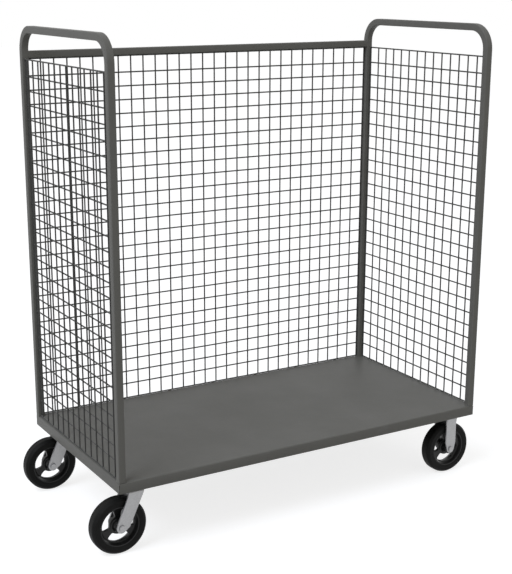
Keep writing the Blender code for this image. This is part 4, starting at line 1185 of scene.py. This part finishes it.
def bearingMesh():
    bm = bmesh.new()
    half, inside, outside = bearing["length"] / 2, bearing["inside"], bearing["outside"]
    reach = half - bearing["ring"]
    for side in (-1, 1):
        low, high = sorted((side * half, side * reach))
        rings = [(outside, high), (outside, low), (inside, low), (inside, high)]
        ringSolid(bm, rings, smooth["turnSteps"])
    radius = (outside - inside) / 2 - bearing["rollerPlay"]
    roller = [(radius, reach), (radius, -reach)]
    for at in circlePoints((inside + outside) / 2, steps=bearing["rollers"]):
        ringSolid(bm, roller, bearing["rollerSteps"], False, at)
    return meshOf(bm, "rollerBearing")


def boltMesh():
    headFrom, flat = legOutside + axle["gap"], axle["nutAcross"] / 2
    (washerSize, washerHeight), (dishSize, dishDepth) = axle["washer"], axle["dish"]
    headLow, headTop = headFrom + washerHeight, headFrom + axle["headHeight"]
    head = [(flat * washerSize, headFrom), (flat * washerSize, headLow)]
    head += hexRings(axle["nutAcross"], headLow, headTop, chamferLow=False)
    head.append((flat * dishSize, headTop - dishDepth))
    shank = [(axle["radius"], headFrom + axle["intoHead"])]
    shank += threadedEnd(axle, -(headFrom + axle["nutHeight"]))
    bm = bmesh.new()
    ringSolid(bm, head, axle["headSteps"], False)
    ringSolid(bm, shank, smooth["turnSteps"], False)
    return meshOf(bm, "axleBolt")


def bushingMesh():
    half, inner = fork["inside"] / 2 - axle["gap"], axle["radius"] + axle["gap"]
    outerRound, innerRound = axle["bushingRounds"]
    upper = [(axle["bushing"], half, outerRound), (inner, half, innerRound)]
    return turnedMesh("axleBushing", [upper[0], *mirrored(upper), upper[1]])


casterParts = {  # mesh, finish, carrier and place of each part, by the end of its node's name
    "plate": (swivelPlate(), "zinc", "cart", "mount"),
    "kingpin": (kingpinMesh(), "zinc", "cart", "mount"),
    "kingpin_nut": (nutMesh("kingpinNut", kingpin), "zinc", "cart", "pinNut"),
    "ball_race": (ballRing(), "oiled", "swivel", "mount"),
    "fork": (forkMesh(), "zinc", "swivel", "mount"),
    "frame": (rigidFrameMesh(), "zinc", "cart", "mount"),
    "tyre": (tyreMesh(), "rubber", "wheel", "axle"),
    "hub": (hubMesh(), "iron", "wheel", "axle"),
    "roller_bearing": (bearingMesh(), "oiled", "wheel", "axle"),
    "axle_bolt": (boltMesh(), "zinc", "swivel", "axle"),
    "axle_bushing": (bushingMesh(), "oiled", "swivel", "axle"),
    "axle_nut": (nutMesh("axleNut", axle), "zinc", "swivel", "axleNut"),
}
swivelOnly = ("plate", "kingpin", "kingpin_nut", "ball_race", "fork")
print("caster parts made")


def addCaster(caster):
    swivels = caster.endswith("left")
    at = jointAt[f"{caster}_swivel_turn"] if swivels else casterMiddle[caster]
    onAxle = Matrix.Translation(jointAt[f"{caster}_wheel_spin"]) @ facingFront
    pinNut = crownTop - fork["plate"] - kingpin["gap"] - kingpin["nutHeight"] / 2
    axleNut = legOutside + axle["gap"] + axle["nutHeight"] / 2
    places = {
        "mount": Matrix.Translation((at.x, at.y, 0.0)),
        "pinNut": Matrix.Translation((at.x, at.y, pinNut)),
        "axle": onAxle, "axleNut": onAxle @ Matrix.Translation((0.0, 0.0, -axleNut)),
    }
    bodies = {"cart": "cart", "wheel": f"{caster}_wheel", "swivel": "cart"}
    if swivels:
        bodies["swivel"] = f"{caster}_swivel"
    for part, (mesh, finish, body, place) in casterParts.items():
        if part not in (("frame",) if swivels else swivelOnly):
            standIn(f"{caster}_{part}", mesh, finish, bodies[body], places[place])


for caster in casterMiddle:
    addCaster(caster)
print("casters placed")


# Floor, light and camera

studio = {
    "floorSize": 60.0, "floorColour": (0.42, 0.42, 0.42), "floorRoughness": 0.9,
    "floorGlow": 0.77, "skyLight": 0.38,
}
lamps = {
    "key": {
        "power": 1950.0, "at": (-12.0, -3.2, 15.5), "size": 10.0, "colour": (0.92, 0.965, 1.08),
    },
    "fill": {"power": 23.0, "at": (1.5, -5.0, 2.5), "size": 3.0, "colour": (1.0, 0.97, 0.89)},
}
camera = {
    "at": (-2.24239212, -3.78599636, 1.90252717), "lens": 75.58926,
    "turn": (74.7150075, -0.0259734806, -30.2194321), "shift": (0.02350866, 0.03422994),
    "clip": (0.1, 200.0),
}


def seenIn(tree):  # 1 for what the camera, a reflection or glass sees, 0 for light that bounces
    rays = tree.nodes.new("ShaderNodeLightPath").outputs
    seen = mathIn(tree, "ADD", rays["Is Camera Ray"], rays["Is Glossy Ray"])
    return mathIn(tree, "ADD", seen, rays["Is Transmission Ray"], clamp=True)


def makeFloor():
    bm = bmesh.new()
    bmesh.ops.create_grid(bm, x_segments=1, y_segments=1, size=studio["floorSize"] / 2)
    floor = workObject(meshOf(bm, "studioFloor"))
    material, tree = newMaterial("studioFloor")
    feedAll(tree, tree.nodes["Principled BSDF"].inputs, {
        "Base Color": studio["floorColour"], "Roughness": studio["floorRoughness"],
        "Emission Color": (1.0, 1.0, 1.0),
        "Emission Strength": mathIn(tree, "MULTIPLY", seenIn(tree), studio["floorGlow"]),
    })
    floor.data.materials.append(material)


def makeWorld():
    world = bpy.data.worlds.new("studioSky")
    bpy.context.scene.world = world
    world.use_nodes = True
    tree = world.node_tree
    light = {"Value": seenIn(tree), "To_Min": studio["skyLight"], "To_Max": 1.0}
    strength = nodeIn(tree, "ShaderNodeMapRange", **light).outputs["Result"]
    sky = {"Color": (1.0, 1.0, 1.0), "Strength": strength}
    feedAll(tree, tree.nodes["Background"].inputs, sky)


def addLamp(name, values, aim):
    lamp = bpy.data.lights.new(name, "AREA")
    lamp.energy = values["power"]
    lamp.shape = "SQUARE"
    lamp.size = values["size"]
    lamp.color = values["colour"]
    holder = inScene(name, lamp)
    holder.location = values["at"]
    holder.rotation_euler = (aim - Vector(values["at"])).to_track_quat("-Z", "Y").to_euler()


def makeCamera():
    data = bpy.data.cameras.new("photoCamera")
    data.lens = camera["lens"]
    data.shift_x, data.shift_y = camera["shift"]
    data.clip_start, data.clip_end = camera["clip"]
    eye = inScene("photoCamera", data)
    eye.location = camera["at"]
    eye.rotation_euler = [math.radians(angle) for angle in camera["turn"]]
    bpy.context.scene.camera = eye


makeFloor()
makeWorld()
for name, values in lamps.items():
    addLamp(f"{name}Lamp", values, (cadBox[0] + cadBox[1]) / 2)
makeCamera()
bpy.context.scene.view_settings.view_transform = "Standard"
print("studio set")
